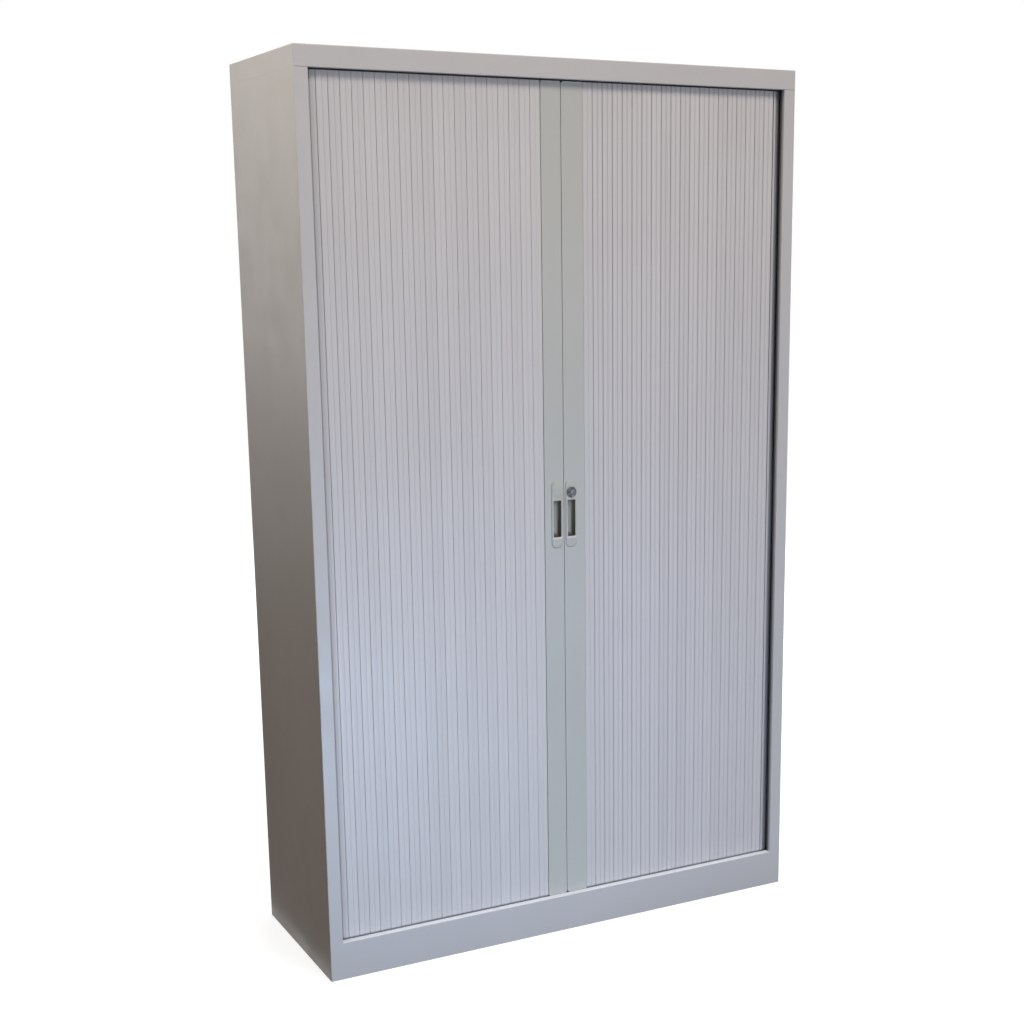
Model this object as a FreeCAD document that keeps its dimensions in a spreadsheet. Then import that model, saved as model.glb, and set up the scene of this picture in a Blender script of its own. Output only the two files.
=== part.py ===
import FreeCAD, Part
import os
import re
import Sketcher
from FreeCAD import Vector

# Tall steel cupboard with two roll fronts that slide sideways into the sides
# Frame: x to the right, y to the back, z up, origin on the floor under the middle
os.makedirs("parts", exist_ok=True)
doc = FreeCAD.newDocument("roll_front_cabinet")
sheet = doc.addObject("Spreadsheet::Sheet", "Sizes")

# Driving sizes: millimetres, counts where the name says so
sizes = {
    # carcass
    "cab_width": 1200,
    "cab_depth": 430,
    "cab_height": 1980,
    "steel": 1,
    "fold_radius": 2,
    "fascia_height": 43,
    "fascia_return": 15,
    "seam_gap": 0.6,
    "flange_width": 30,
    "jamb_depth": 15,
    "rear_flange": 20,
    "plinth_height": 86,
    "plinth_return": 20,
    "rear_plinth_drop": 26,
    "rear_plinth_return": 16,
    "rear_plinth_gap": 1,
    "head_rise": 9,
    "head_leg": 22,
    "pan_drop": 18,
    "pan_leg": 28,
    "back_overlap": 23,
    "rivet_radius": 3,
    "rivet_inset": 120,
    "rivet_count": 6,
    # inner lining and shelves
    "pocket_width": 39,
    "inner_front": 43,
    "inner_rear": 33,
    "lining_return": 8,
    "inner_back_return": 8,
    "shelf_height": 25,
    "shelf_side_gap": 1.5,
    "shelf_front_gap": 4,
    "shelf_rear_gap": 2,
    "room_row_count": 49.6,
    "slot_count": 46,
    "first_slot_count": 3,
    "shelf_step_count": 10,
    "clip_width": 15,
    "clip_ledge": 14,
    "clip_tab": 12,
    "clip_thickness": 2,
    "clip_hook": 1.5,
    "clip_clearance": 0.5,
    "clip_reach": 110,
    # curtain
    "curtain_recess": 19.75,
    "slat_share_count": 48,
    "slat_gap": 0.4,
    "slat_thickness": 7.5,
    "slat_chamfer": 0.8,
    "slat_land": 2.5,
    "slat_back_inset": 1.8,
    "slat_wall": 1.1,
    "flute_depth": 0.6,
    "flute_width": 1.8,
    "end_clearance": 0.3,
    "top_clearance": 1.4,
    # tracks
    "pocket_margin": 14,
    "rear_margin": 15,
    "bend_radius": 36,
    "groove_width": 10.4,
    "track_wall": 1.6,
    "track_height": 12,
    "track_end_gap": 1,
    "rear_run": 175,
    # leading stiles
    "left_stile_edge": 48.5,
    "right_stile_edge": 53,
    "stile_proud": 0.95,
    "stile_depth": 18,
    "stile_wall": 1.2,
    "stile_lip": 8,
    "stile_fold": 0.8,
    "meeting_gap": 1,
    "lap_width": 2.5,
    "lap_clearance": 1,
    "stile_end_gap": 2,
    "glide_body": 30,
    "glide_clearance": 0.3,
    # pulls
    "pull_width": 28,
    "pull_height": 155,
    "pull_thickness": 1.8,
    "pull_inset": 4,
    "pull_level": 920,
    "pull_corner": 13.5,
    "pull_edge": 0.7,
    "recess_width": 19,
    "recess_length": 83,
    "recess_depth": 15,
    "recess_rise": 25,
    "recess_wall": 1.5,
    "recess_corner": 2,
    "cutout_clearance": 0.3,
    "pad_width": 22,
    "pad_height": 34,
    "pad_rise": 118,
    "pad_proud": 0.7,
    # lock
    "lock_rise": 126,
    "lock_face_radius": 12.3,
    "lock_face_proud": 2.5,
    "barrel_radius": 9,
    "barrel_depth": 12,
    "core_radius": 6,
    "core_clearance": 0.05,
    "core_setback": 0.4,
    "keyway_width": 1.8,
    "keyway_height": 8,
    "keyway_depth": 3,
    "lock_nut_half_width": 12,
    "lock_nut_thickness": 4,
    "cam_thickness": 3,
    "cam_gap": 0.3,
    "cam_half_width": 3.5,
    "cam_length": 26,
    "cam_barb": 8,
    "cam_barb_width": 6,
    "cam_bore_radius": 3,
    "screw_head_radius": 4.5,
    "screw_head_height": 2,
    "screw_radius": 2,
    "screw_length": 8,
    "slot_below": 4.5,
    "slot_above": 25,
    "slot_side": 1.5,
    "keeper_thickness": 1.5,
    "keeper_border": 8,
    "keeper_half_width": 5.5,
    # levelling feet
    "foot_inset_x": 80,
    "foot_inset_y": 75,
    "pad_radius": 17.5,
    "foot_pad_height": 8,
    "pad_lift": 1,
    "pad_floor": 3,
    "stud_radius": 5,
    "stud_clearance": 0.05,
    "stud_top_gap": 8,
    "stud_collar_radius": 8,
    "stud_collar_height": 6,
    "nut_half_width": 10,
    "nut_height": 8,
    "pan_hole_radius": 6,
    "deck_hole_radius": 10,
    "plug_rim": 2,
    "plug_cap": 1.5,
    "plug_stem": 4,
    "plug_clearance": 0.2,
    # how far every cut runs past its wall
    "overrun": 2,
}
for row, (name, number) in enumerate(sizes.items(), start=1):
    sheet.set(f"A{row}", name)
    sheet.set(f"B{row}", str(number))
    sheet.setAlias(f"B{row}", name)
doc.recompute()

# Places worked out from the sizes, in the words of the sheet
half_width = "(cab_width / 2)"
inside = "(cab_width / 2 - steel)"
front = "(-cab_depth / 2)"
rear = "(cab_depth / 2)"
fascia_level = "(cab_height - fascia_height)"
head_level = "(cab_height - fascia_height + head_rise)"
pan_level = "(plinth_height - pan_drop)"
lining_face = "(cab_width / 2 - pocket_width)"
room_front = "(-cab_depth / 2 + inner_front)"
room_rear = "(cab_depth / 2 - inner_rear)"
slat_plane = "(-cab_depth / 2 + curtain_recess + slat_thickness / 2)"
rear_plinth_top = "(plinth_height - rear_plinth_drop)"
slot_pitch = f"(({head_level} - plinth_height) / room_row_count)"
slat_pitch = "(cab_width / slat_share_count)"
bend_start = "(cab_width / 2 - pocket_margin - bend_radius)"
side_plane = "(cab_width / 2 - pocket_margin)"
rear_plane = "(cab_depth / 2 - rear_margin)"
slat_bottom = f"({pan_level} + track_wall + end_clearance)"
slat_top = f"({head_level} - track_wall - top_clearance)"
slat_length = f"({slat_top} - {slat_bottom})"
stile_front = f"({slat_plane} - slat_thickness / 2 - stile_proud)"
stile_back = f"({stile_front} + stile_depth)"
stile_bottom = "(plinth_height + stile_end_gap)"
stile_top = f"({head_level} - track_height - stile_end_gap)"
pull_face = f"({stile_front} - pull_thickness)"
lock_level = "(pull_level + lock_rise)"
lock_x = "(pull_inset + pull_width / 2)"
cam_front = f"({stile_front} + barrel_depth + cam_gap)"

parts = {}


def value(text):
    """The number that an expression in the words of the sheet stands for."""
    return float(sheet.evalExpression(text))


def bound(text):
    """The expression with each size written as a cell of the sheet."""
    return re.sub(r"[a-z_]+", lambda word: f"Sizes.{word[0]}" if word[0] in sizes else word[0], text)


def tie(thing, name, text):
    """Bind one property of an object to an expression."""
    thing.setExpression(name, bound(text))


def new_body(label):
    """An empty body that will be written as the part of that name."""
    body = doc.addObject("PartDesign::Body", label)
    body.Label = label
    parts[label] = body
    return body


def origin_feature(body, role):
    """A plane or axis of the body's own origin."""
    return next(item for item in body.Origin.OriginFeatures if item.Role == role)


def new_sketch(body, role, level):
    """A sketch across one origin plane, at a level along that plane's axis."""
    sketch = body.newObject("Sketcher::SketchObject", "outline")
    sketch.AttachmentSupport = [(origin_feature(body, role), "")]
    sketch.MapMode = "FlatFace"
    sign = "-" if role == "XZ_Plane" else ""
    tie(sketch, "AttachmentOffset.Base.z", f"{sign}({level})")
    return sketch


def draw_outline(sketch, corners):
    """A closed straight-sided outline: every corner is held at its distance from the origin."""
    places = [(value(across), value(up)) for across, up in corners]
    first = sketch.GeometryCount
    for here, after in zip(places, places[1:] + places[:1]):
        sketch.addGeometry(Part.LineSegment(Vector(*here), Vector(*after)))
    for i in range(len(corners)):
        following = first + (i + 1) % len(corners)
        sketch.addConstraint(Sketcher.Constraint("Coincident", first + i, 2, following, 1))
    for i, corner in enumerate(corners):
        for kind, text, number in zip(("DistanceX", "DistanceY"), corner, places[i]):
            held = sketch.addConstraint(Sketcher.Constraint(kind, -1, 1, first + i, 1, number))
            sketch.setExpression(f"Constraints[{held}]", bound(text))


def draw_circle(sketch, across, up, radius):
    """A circle held by its centre and its radius."""
    middle = Vector(value(across), value(up))
    ring = sketch.addGeometry(Part.Circle(middle, Vector(0, 0, 1), value(radius)))
    for kind, text, number in (("DistanceX", across, middle.x), ("DistanceY", up, middle.y)):
        held = sketch.addConstraint(Sketcher.Constraint(kind, -1, 1, ring, 3, number))
        sketch.setExpression(f"Constraints[{held}]", bound(text))
    held = sketch.addConstraint(Sketcher.Constraint("Radius", ring, value(radius)))
    sketch.setExpression(f"Constraints[{held}]", bound(radius))


def box_outline(low_across, high_across, low_up, high_up):
    """The four corners of an upright rectangle."""
    return [
        (low_across, low_up),
        (high_across, low_up),
        (high_across, high_up),
        (low_across, high_up),
    ]


def grow(body, role, level, length, outlines=(), circles=()):
    """Add material: outlines and circles drawn at a level and carried along the plane's axis."""
    sketch = new_sketch(body, role, level)
    for corners in outlines:
        draw_outline(sketch, corners)
    for circle in circles:
        draw_circle(sketch, *circle)
    pad = body.newObject("PartDesign::Pad", "pad")
    pad.Profile = sketch
    pad.Reversed = role == "XZ_Plane"
    tie(pad, "Length", length)
    return pad


def cut(body, role, level, length, outlines=(), circles=()):
    """Take material away: outlines and circles drawn at a level and carried along the axis."""
    sketch = new_sketch(body, role, level)
    for corners in outlines:
        draw_outline(sketch, corners)
    for circle in circles:
        draw_circle(sketch, *circle)
    pocket = body.newObject("PartDesign::Pocket", "pocket")
    pocket.Profile = sketch
    pocket.Reversed = role != "XZ_Plane"
    tie(pocket, "Length", length)
    return pocket


def repeat(body, feature, axis, length, count, backwards=False):
    """Copies of a feature in a straight row, the last one a length away from the first."""
    pattern = body.newObject("PartDesign::LinearPattern", "row")
    pattern.Originals = [feature]
    pattern.Direction = (origin_feature(body, axis), [""])
    pattern.Reversed = backwards
    tie(pattern, "Length", length)
    tie(pattern, "Occurrences", count)
    body.Tip = pattern


def round_edges(body, radius, chosen):
    """Round the edges of the body's last shape that a test picks."""
    doc.recompute()
    base = body.Tip
    names = [f"Edge{i}" for i, edge in enumerate(base.Shape.Edges, start=1) if chosen(edge)]
    fillet = body.newObject("PartDesign::Fillet", "fillet")
    fillet.Base = (base, names)
    tie(fillet, "Radius", radius)


def edge_span(edge):
    """How far an edge reaches along x, y and z."""
    reach = edge.BoundBox
    return reach.XLength, reach.YLength, reach.ZLength


def is_close(first, second):
    """Whether two lengths are the same within a thousandth of the sheet's thickness."""
    return abs(first - second) < value("steel") / 1000


# Side panels: one sheet folded to a flange and a jamb in front and a flange behind
rivet_pitch = f"(({fascia_level} - 2 * rivet_inset) / (rivet_count - 1))"
rivet_levels = [f"(rivet_inset + {i} * {rivet_pitch})" for i in range(sizes["rivet_count"])]
rivet_places = [
    (f"{sign} * ({half_width} - rear_flange / 2)", level)
    for sign in (-1, 1)
    for level in rivet_levels
]


def side_panel(label, sign):
    """The folded side: outline in plan, carried from the floor up to the fascia."""
    body = new_body(label)
    outer = f"{sign} * {half_width}"
    inner = f"{sign} * {inside}"
    flange_edge = f"{sign} * ({half_width} - flange_width)"
    jamb_back = f"{sign} * ({half_width} - flange_width + steel)"
    rear_edge = f"{sign} * ({half_width} - rear_flange)"
    corners = [
        (outer, front),
        (outer, rear),
        (rear_edge, rear),
        (rear_edge, f"{rear} - steel"),
        (inner, f"{rear} - steel"),
        (inner, f"{front} + steel"),
        (jamb_back, f"{front} + steel"),
        (jamb_back, f"{front} + jamb_depth"),
        (flange_edge, f"{front} + jamb_depth"),
        (flange_edge, front),
    ]
    grow(body, "XY_Plane", "0", fascia_level, [corners])
    round_edges(
        body,
        "fold_radius",
        lambda edge: is_close(edge_span(edge)[2], value(fascia_level))
        and is_close(abs(edge.CenterOfMass.y), value(rear))
        and (
            is_close(abs(edge.CenterOfMass.x), value(half_width))
            or is_close(abs(edge.CenterOfMass.x), value(f"{half_width} - flange_width"))
        ),
    )
    seam = box_outline(
        f"{sign} * ({half_width} - flange_width - overrun)",
        f"{sign} * ({half_width} - fold_radius)",
        f"{front} - overrun",
        f"{front} + jamb_depth + overrun",
    )
    cut(body, "XY_Plane", f"{fascia_level} - seam_gap", "seam_gap + overrun", [seam])
    holes = [(x, z, "rivet_radius") for x, z in rivet_places if x.startswith(f"{sign} ")]
    cut(body, "XZ_Plane", f"{rear} - steel - overrun", "steel + 2 * overrun", circles=holes)


side_panel("left_side_panel", -1)
side_panel("right_side_panel", 1)


# Top panel: shallow tray turned over, its front wall is the fascia with a return below
top_panel = new_body("top_panel")
grow(
    top_panel,
    "XY_Plane",
    fascia_level,
    "fascia_height",
    [box_outline(f"-{half_width}", half_width, front, rear)],
)
round_edges(
    top_panel,
    "fold_radius",
    lambda edge: edge.CenterOfMass.z > value(f"{fascia_level} + fold_radius"),
)
cut(
    top_panel,
    "XY_Plane",
    f"{fascia_level} - overrun",
    "fascia_height + overrun - steel",
    [box_outline(f"-{inside}", inside, f"{front} + steel", f"{rear} - steel")],
)
grow(
    top_panel,
    "XY_Plane",
    fascia_level,
    "steel",
    [box_outline(f"-{inside}", inside, f"{front} + steel", f"{front} + fascia_return")],
)


def bridge(label, level, leg):
    """A sheet across the cupboard, folded down at both sides onto the side panels."""
    body = new_body(label)
    low = f"({level} - {leg})"
    corners = [
        (f"-{inside}", low),
        (f"-{inside}", level),
        (inside, level),
        (inside, low),
        (f"{inside} - steel", low),
        (f"{inside} - steel", f"{level} - steel"),
        (f"-{inside} + steel", f"{level} - steel"),
        (f"-{inside} + steel", low),
    ]
    start = f"{front} + jamb_depth"
    grow(body, "XZ_Plane", start, "cab_depth - jamb_depth - 2 * steel", [corners])
    return body


# Head panel carries the top tracks, base pan carries the bottom tracks and the feet
bridge("head_panel", f"({head_level} + steel)", "(head_rise + steel + head_leg)")
base_pan = bridge("base_pan", pan_level, "pan_leg")
foot_x = f"({half_width} - foot_inset_x)"
foot_y = f"({rear} - foot_inset_y)"
foot_places = {
    "front_left": (f"-{foot_x}", f"-{foot_y}"),
    "front_right": (foot_x, f"-{foot_y}"),
    "rear_left": (f"-{foot_x}", foot_y),
    "rear_right": (foot_x, foot_y),
}
cut(
    base_pan,
    "XY_Plane",
    f"{pan_level} - steel - overrun",
    "steel + 2 * overrun",
    circles=[(x, y, "pan_hole_radius") for x, y in foot_places.values()],
)


# Front plinth: face, ledge in front of the curtains and a return down to the pan
front_plinth = new_body("front_plinth")
ledge_back = f"({front} + jamb_depth + steel / 2)"
grow(
    front_plinth,
    "YZ_Plane",
    f"flange_width - {half_width}",
    "cab_width - 2 * flange_width",
    [
        [
            (front, "0"),
            (f"{front} + plinth_return", "0"),
            (f"{front} + plinth_return", "steel"),
            (f"{front} + steel", "steel"),
            (f"{front} + steel", "plinth_height - steel"),
            (f"{ledge_back} - steel", "plinth_height - steel"),
            (f"{ledge_back} - steel", pan_level),
            (ledge_back, pan_level),
            (ledge_back, "plinth_height"),
            (front, "plinth_height"),
        ]
    ],
)
round_edges(
    front_plinth,
    "fold_radius",
    lambda edge: is_close(edge.CenterOfMass.z, value("plinth_height"))
    and is_close(edge.CenterOfMass.y, value(front)),
)


# Rear plinth: channel under the pan, between the side panels
rear_plinth = new_body("rear_plinth")
channel_back = f"({rear} - steel)"
channel_front = f"({rear} - steel - rear_plinth_return)"
grow(
    rear_plinth,
    "YZ_Plane",
    f"steel - {inside}",
    "cab_width - 4 * steel",
    [
        [
            (channel_front, "0"),
            (channel_back, "0"),
            (channel_back, rear_plinth_top),
            (channel_front, rear_plinth_top),
            (channel_front, f"{rear_plinth_top} - steel"),
            (f"{channel_back} - steel", f"{rear_plinth_top} - steel"),
            (f"{channel_back} - steel", "steel"),
            (channel_front, "steel"),
        ]
    ],
)


# Back panel: flat sheet riveted against the rear flanges
back_panel = new_body("back_panel")
back_low = f"({rear_plinth_top} + rear_plinth_gap)"
grow(
    back_panel,
    "XZ_Plane",
    f"{rear} - 2 * steel",
    "steel",
    [box_outline(f"-{inside}", inside, back_low, f"{fascia_level} + back_overlap")],
)
cut(
    back_panel,
    "XZ_Plane",
    f"{rear} - 2 * steel - overrun",
    "steel + 2 * overrun",
    circles=[(x, z, "rivet_radius") for x, z in rivet_places],
)
back_rivets = new_body("back_rivets")
grow(
    back_rivets,
    "XZ_Plane",
    f"{rear} - 2 * steel",
    "2 * steel",
    circles=[(x, z, "rivet_radius") for x, z in rivet_places],
)


# Floor deck: tray turned over on the pan, with holes over the foot adjusters
floor_deck = new_body("floor_deck")
grow(
    floor_deck,
    "XY_Plane",
    pan_level,
    "pan_drop",
    [box_outline(f"-{lining_face}", lining_face, room_front, room_rear)],
)
cut(
    floor_deck,
    "XY_Plane",
    f"{pan_level} - overrun",
    "pan_drop + overrun - steel",
    [
        box_outline(
            f"steel - {lining_face}",
            f"{lining_face} - steel",
            f"{room_front} + steel",
            f"{room_rear} - steel",
        )
    ],
)
cut(
    floor_deck,
    "XY_Plane",
    "plinth_height - steel - overrun",
    "steel + 2 * overrun",
    circles=[(x, y, "deck_hole_radius") for x, y in foot_places.values()],
)
deck_plugs = new_body("deck_plugs")
grow(
    deck_plugs,
    "XY_Plane",
    "plinth_height",
    "plug_cap",
    circles=[(x, y, "deck_hole_radius + plug_rim") for x, y in foot_places.values()],
)
grow(
    deck_plugs,
    "XY_Plane",
    "plinth_height - plug_stem",
    "plug_stem",
    circles=[(x, y, "deck_hole_radius - plug_clearance") for x, y in foot_places.values()],
)


# Linings: walls between the shelves and the pockets, slotted for the shelf clips
def slot_level(steps):
    """Middle of the slot that is a number of pitches above the deck."""
    return f"(plinth_height - shelf_height - clip_thickness / 2 + {steps} * {slot_pitch})"


def lining(label, sign):
    """The wall in plan with a small return in front, then two rows of slots."""
    body = new_body(label)
    face = f"{sign} * {lining_face}"
    back = f"{sign} * ({lining_face} + steel)"
    lip = f"{sign} * ({lining_face} + steel + lining_return)"
    corners = [
        (face, room_front),
        (lip, room_front),
        (lip, f"{room_front} + steel"),
        (back, f"{room_front} + steel"),
        (back, f"{room_rear} + steel"),
        (face, f"{room_rear} + steel"),
    ]
    grow(body, "XY_Plane", pan_level, f"{head_level} - {pan_level}", [corners])
    level = slot_level("first_slot_count")
    half_slot = "(clip_width / 2 + clip_clearance)"
    half_rise = "(clip_thickness / 2 + clip_clearance)"
    slots = [
        box_outline(
            f"{side} * clip_reach - {half_slot}",
            f"{side} * clip_reach + {half_slot}",
            f"{level} - {half_rise}",
            f"{level} + {half_rise}",
        )
        for side in (-1, 1)
    ]
    low = lining_face if sign > 0 else f"-({lining_face} + steel)"
    pair = cut(body, "YZ_Plane", f"{low} - overrun", "steel + 2 * overrun", slots)
    repeat(body, pair, "Z_Axis", f"(slot_count - 1) * {slot_pitch}", "slot_count")


lining("left_lining", -1)
lining("right_lining", 1)


# Inner back panel: closes the room in front of the curtains' rear run
inner_back = new_body("inner_back_panel")
return_back = f"{room_rear} + steel + inner_back_return"
grow(
    inner_back,
    "XY_Plane",
    pan_level,
    f"{head_level} - {pan_level}",
    [
        [
            (f"-{lining_face}", room_rear),
            (lining_face, room_rear),
            (lining_face, return_back),
            (f"{lining_face} - steel", return_back),
            (f"{lining_face} - steel", f"{room_rear} + steel"),
            (f"steel - {lining_face}", f"{room_rear} + steel"),
            (f"steel - {lining_face}", return_back),
            (f"-{lining_face}", return_back),
        ]
    ],
)


# Shelves: four folded trays, each resting on four clips
shelf_count = 4
shelf_half = f"({lining_face} - shelf_side_gap)"
shelf_front = f"({room_front} + shelf_front_gap)"
shelf_rear = f"({room_rear} - shelf_rear_gap)"


def shelf(number):
    """One tray with its walls turned down on all four sides."""
    body = new_body(f"shelf_{number}")
    under = f"(plinth_height + {number} * shelf_step_count * {slot_pitch} - shelf_height)"
    plan = box_outline(f"-{shelf_half}", shelf_half, shelf_front, shelf_rear)
    grow(body, "XY_Plane", under, "shelf_height", [plan])
    low_folds = value(f"{under} + fold_radius")
    round_edges(body, "fold_radius", lambda edge: edge.CenterOfMass.z > low_folds)
    hollow = box_outline(
        f"steel - {shelf_half}",
        f"{shelf_half} - steel",
        f"{shelf_front} + steel",
        f"{shelf_rear} - steel",
    )
    cut(body, "XY_Plane", f"{under} - overrun", "shelf_height + overrun - steel", [hollow])


for number in range(1, shelf_count + 1):
    shelf(number)


def clip_outline(number, sign):
    """One clip from the front: a ledge through the slot and a tab down the lining."""
    middle = slot_level(f"{number} * shelf_step_count")
    top = f"({middle} + clip_thickness / 2)"
    low = f"({middle} - clip_thickness / 2)"
    inner_end = f"{sign} * ({lining_face} - clip_ledge)"
    outer_end = f"{sign} * ({lining_face} + steel + clip_hook)"
    face = f"{sign} * {lining_face}"
    tab_face = f"{sign} * ({lining_face} - clip_thickness)"
    return [
        (inner_end, low),
        (inner_end, top),
        (outer_end, top),
        (outer_end, low),
        (face, low),
        (face, f"{low} - clip_tab"),
        (tab_face, f"{low} - clip_tab"),
        (tab_face, low),
    ]


shelf_clips = new_body("shelf_clips")
clip_outlines = [
    clip_outline(number, sign) for number in range(1, shelf_count + 1) for sign in (-1, 1)
]
front_clips = grow(
    shelf_clips, "XZ_Plane", "-clip_reach - clip_width / 2", "clip_width", clip_outlines
)
repeat(shelf_clips, front_clips, "Y_Axis", "2 * clip_reach", "2")


# Tracks: channels along the front, round the corner, along the side and round the back
track_route = [
    ("track_end_gap", slat_plane),
    (bend_start, slat_plane),
    (side_plane, f"{slat_plane} + bend_radius"),
    (side_plane, f"{rear_plane} - bend_radius"),
    (bend_start, rear_plane),
    (f"{bend_start} - rear_run", rear_plane),
]


def draw_route(route):
    """Three straight runs joined by two quarter bends, each run held at both its ends."""
    places = [Vector(value(x), value(y)) for x, y in track_route]
    runs = []
    for i in range(0, len(places), 2):
        run = route.addGeometry(Part.LineSegment(places[i], places[i + 1]))
        runs.append(run)
        for end in (0, 1):
            for kind, text in zip(("DistanceX", "DistanceY"), track_route[i + end]):
                rule = Sketcher.Constraint(kind, -1, 1, run, end + 1, value(text))
                held = route.addConstraint(rule)
                route.setExpression(f"Constraints[{held}]", bound(text))
    for i in range(len(runs) - 1):
        leave = places[2 * i + 1]
        arrive = places[2 * i + 2]
        centre = Vector(value(bend_start), arrive.y if i == 0 else leave.y)
        outward = ((leave + arrive) / 2 - centre).normalize()
        bend = route.addGeometry(Part.Arc(leave, centre + outward * value("bend_radius"), arrive))
        route.addConstraint(Sketcher.Constraint("Coincident", runs[i], 2, bend, 1))
        route.addConstraint(Sketcher.Constraint("Coincident", bend, 2, runs[i + 1], 1))
        held = route.addConstraint(Sketcher.Constraint("Radius", bend, value("bend_radius")))
        route.setExpression(f"Constraints[{held}]", bound("bend_radius"))


def track(level, floor_level, mouth_level):
    """The right channel carried along its route, and the left one as its mirror image."""
    body = new_body(f"{level}_track_right")
    route = new_sketch(body, "XY_Plane", "0")
    draw_route(route)
    half = "(groove_width / 2 + track_wall)"
    inner = "(groove_width / 2)"
    section = new_sketch(body, "YZ_Plane", "track_end_gap")
    draw_outline(
        section,
        [
            (f"{slat_plane} - {half}", floor_level),
            (f"{slat_plane} + {half}", floor_level),
            (f"{slat_plane} + {half}", mouth_level),
            (f"{slat_plane} + {inner}", mouth_level),
            (f"{slat_plane} + {inner}", groove_levels[level]),
            (f"{slat_plane} - {inner}", groove_levels[level]),
            (f"{slat_plane} - {inner}", mouth_level),
            (f"{slat_plane} - {half}", mouth_level),
        ],
    )
    doc.recompute()
    channel = body.newObject("PartDesign::AdditivePipe", "channel")
    channel.Profile = section
    channel.Spine = (route, [f"Edge{i + 1}" for i in range(len(route.Shape.Edges))])
    mirrored = doc.addObject("Part::Mirroring", f"{level}_track_left")
    mirrored.Source = body
    mirrored.Normal = Vector(1, 0, 0)
    mirrored.Label = f"{level}_track_left"
    parts[mirrored.Label] = mirrored


groove_levels = {
    "top": f"({head_level} - track_wall)",
    "bottom": f"({pan_level} + track_wall)",
}
track("top", head_level, f"({head_level} - track_height)")
track("bottom", pan_level, f"({pan_level} + track_height)")


# Slats: hollow strips with a fluted face, hooked edge to edge into a curtain
half_slat = f"({slat_pitch} / 2 - slat_gap / 2)"
half_back = f"({half_slat} - slat_back_inset)"
face_level = "(-slat_thickness / 2)"
slat_corners = [
    (f"slat_chamfer - {half_slat}", face_level),
    ("-flute_width / 2", face_level),
    ("0", f"{face_level} + flute_depth"),
    ("flute_width / 2", face_level),
    (f"{half_slat} - slat_chamfer", face_level),
    (half_slat, f"{face_level} + slat_chamfer"),
    (half_slat, f"{face_level} + slat_land"),
    (half_back, "slat_thickness / 2"),
    (f"-{half_back}", "slat_thickness / 2"),
    (f"-{half_slat}", f"{face_level} + slat_land"),
    (f"-{half_slat}", f"{face_level} + slat_chamfer"),
]
chamber_low = f"{face_level} + flute_depth + slat_wall"
chamber_high = "slat_thickness / 2 - slat_wall"
slat_chambers = [
    box_outline(
        "slat_wall / 2",
        f"{half_back} - slat_wall",
        chamber_low,
        chamber_high,
    ),
    box_outline(
        f"slat_wall - {half_back}",
        "-slat_wall / 2",
        chamber_low,
        chamber_high,
    ),
]


def slat(body, x, y, turn):
    """One slat that stands at x and y, turned about its own upright line."""
    sketch = new_sketch(body, "XY_Plane", slat_bottom)
    tie(
        sketch,
        "AttachmentOffset",
        f"placement(vector({x}; {y}; {slat_bottom}); rotation(vector(0; 0; 1); {turn}))",
    )
    for corners in [slat_corners] + slat_chambers:
        draw_outline(sketch, corners)
    pad = body.newObject("PartDesign::Pad", "pad")
    pad.Profile = sketch
    tie(pad, "Length", slat_length)
    return pad


def flat_slats(label, sign, edge, start, count):
    """Slats that lie flat in the front, counted outwards from the stile."""
    body = new_body(label)
    middle = f"{sign} * ({edge} + ({start} + 0.5) * {slat_pitch})"
    first = slat(body, middle, slat_plane, "0")
    if count > 1:
        repeat(body, first, "X_Axis", f"{count - 1} * {slat_pitch}", f"{count}", sign < 0)


def corner_slats(label, sign, edge, start, count):
    """Slats that follow the bend into the pocket: distance along the bend sets the turn."""
    body = new_body(label)
    for i in range(count):
        along = f"({edge} + ({start + i} + 0.5) * {slat_pitch} - {bend_start})"
        turn = f"(min({along} / bend_radius * 180 / pi; 90))"
        past = f"(max({along} - bend_radius * pi / 2; 0))"
        bow = f"({along} < bend_radius * pi / 2 ? {slat_pitch} ^ 2 / (16 * bend_radius) : 0)"
        reach = f"(bend_radius - {bow})"
        x = f"{sign} * ({bend_start} + {reach} * sin({turn}))"
        y = f"({slat_plane} + bend_radius - {reach} * cos({turn}) + {past})"
        slat(body, x, y, f"{sign} * {turn}")


# The first slat goes with the stile, the next ones in strips, the last four round the bend
strip_counts = [4, 4, 4, 4, 3]
corner_count = 4
for side, sign in (("left", -1), ("right", 1)):
    edge = f"{side}_stile_edge"
    flat_slats(f"{side}_slat_01", sign, edge, 0, 1)
    start = 1
    for count in strip_counts:
        flat_slats(f"{side}_slats_{start + 1:02d}_{start + count:02d}", sign, edge, start, count)
        start += count
    corner_slats(f"{side}_slats_{start + 1:02d}_{start + corner_count:02d}", sign, edge, start, corner_count)


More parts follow.
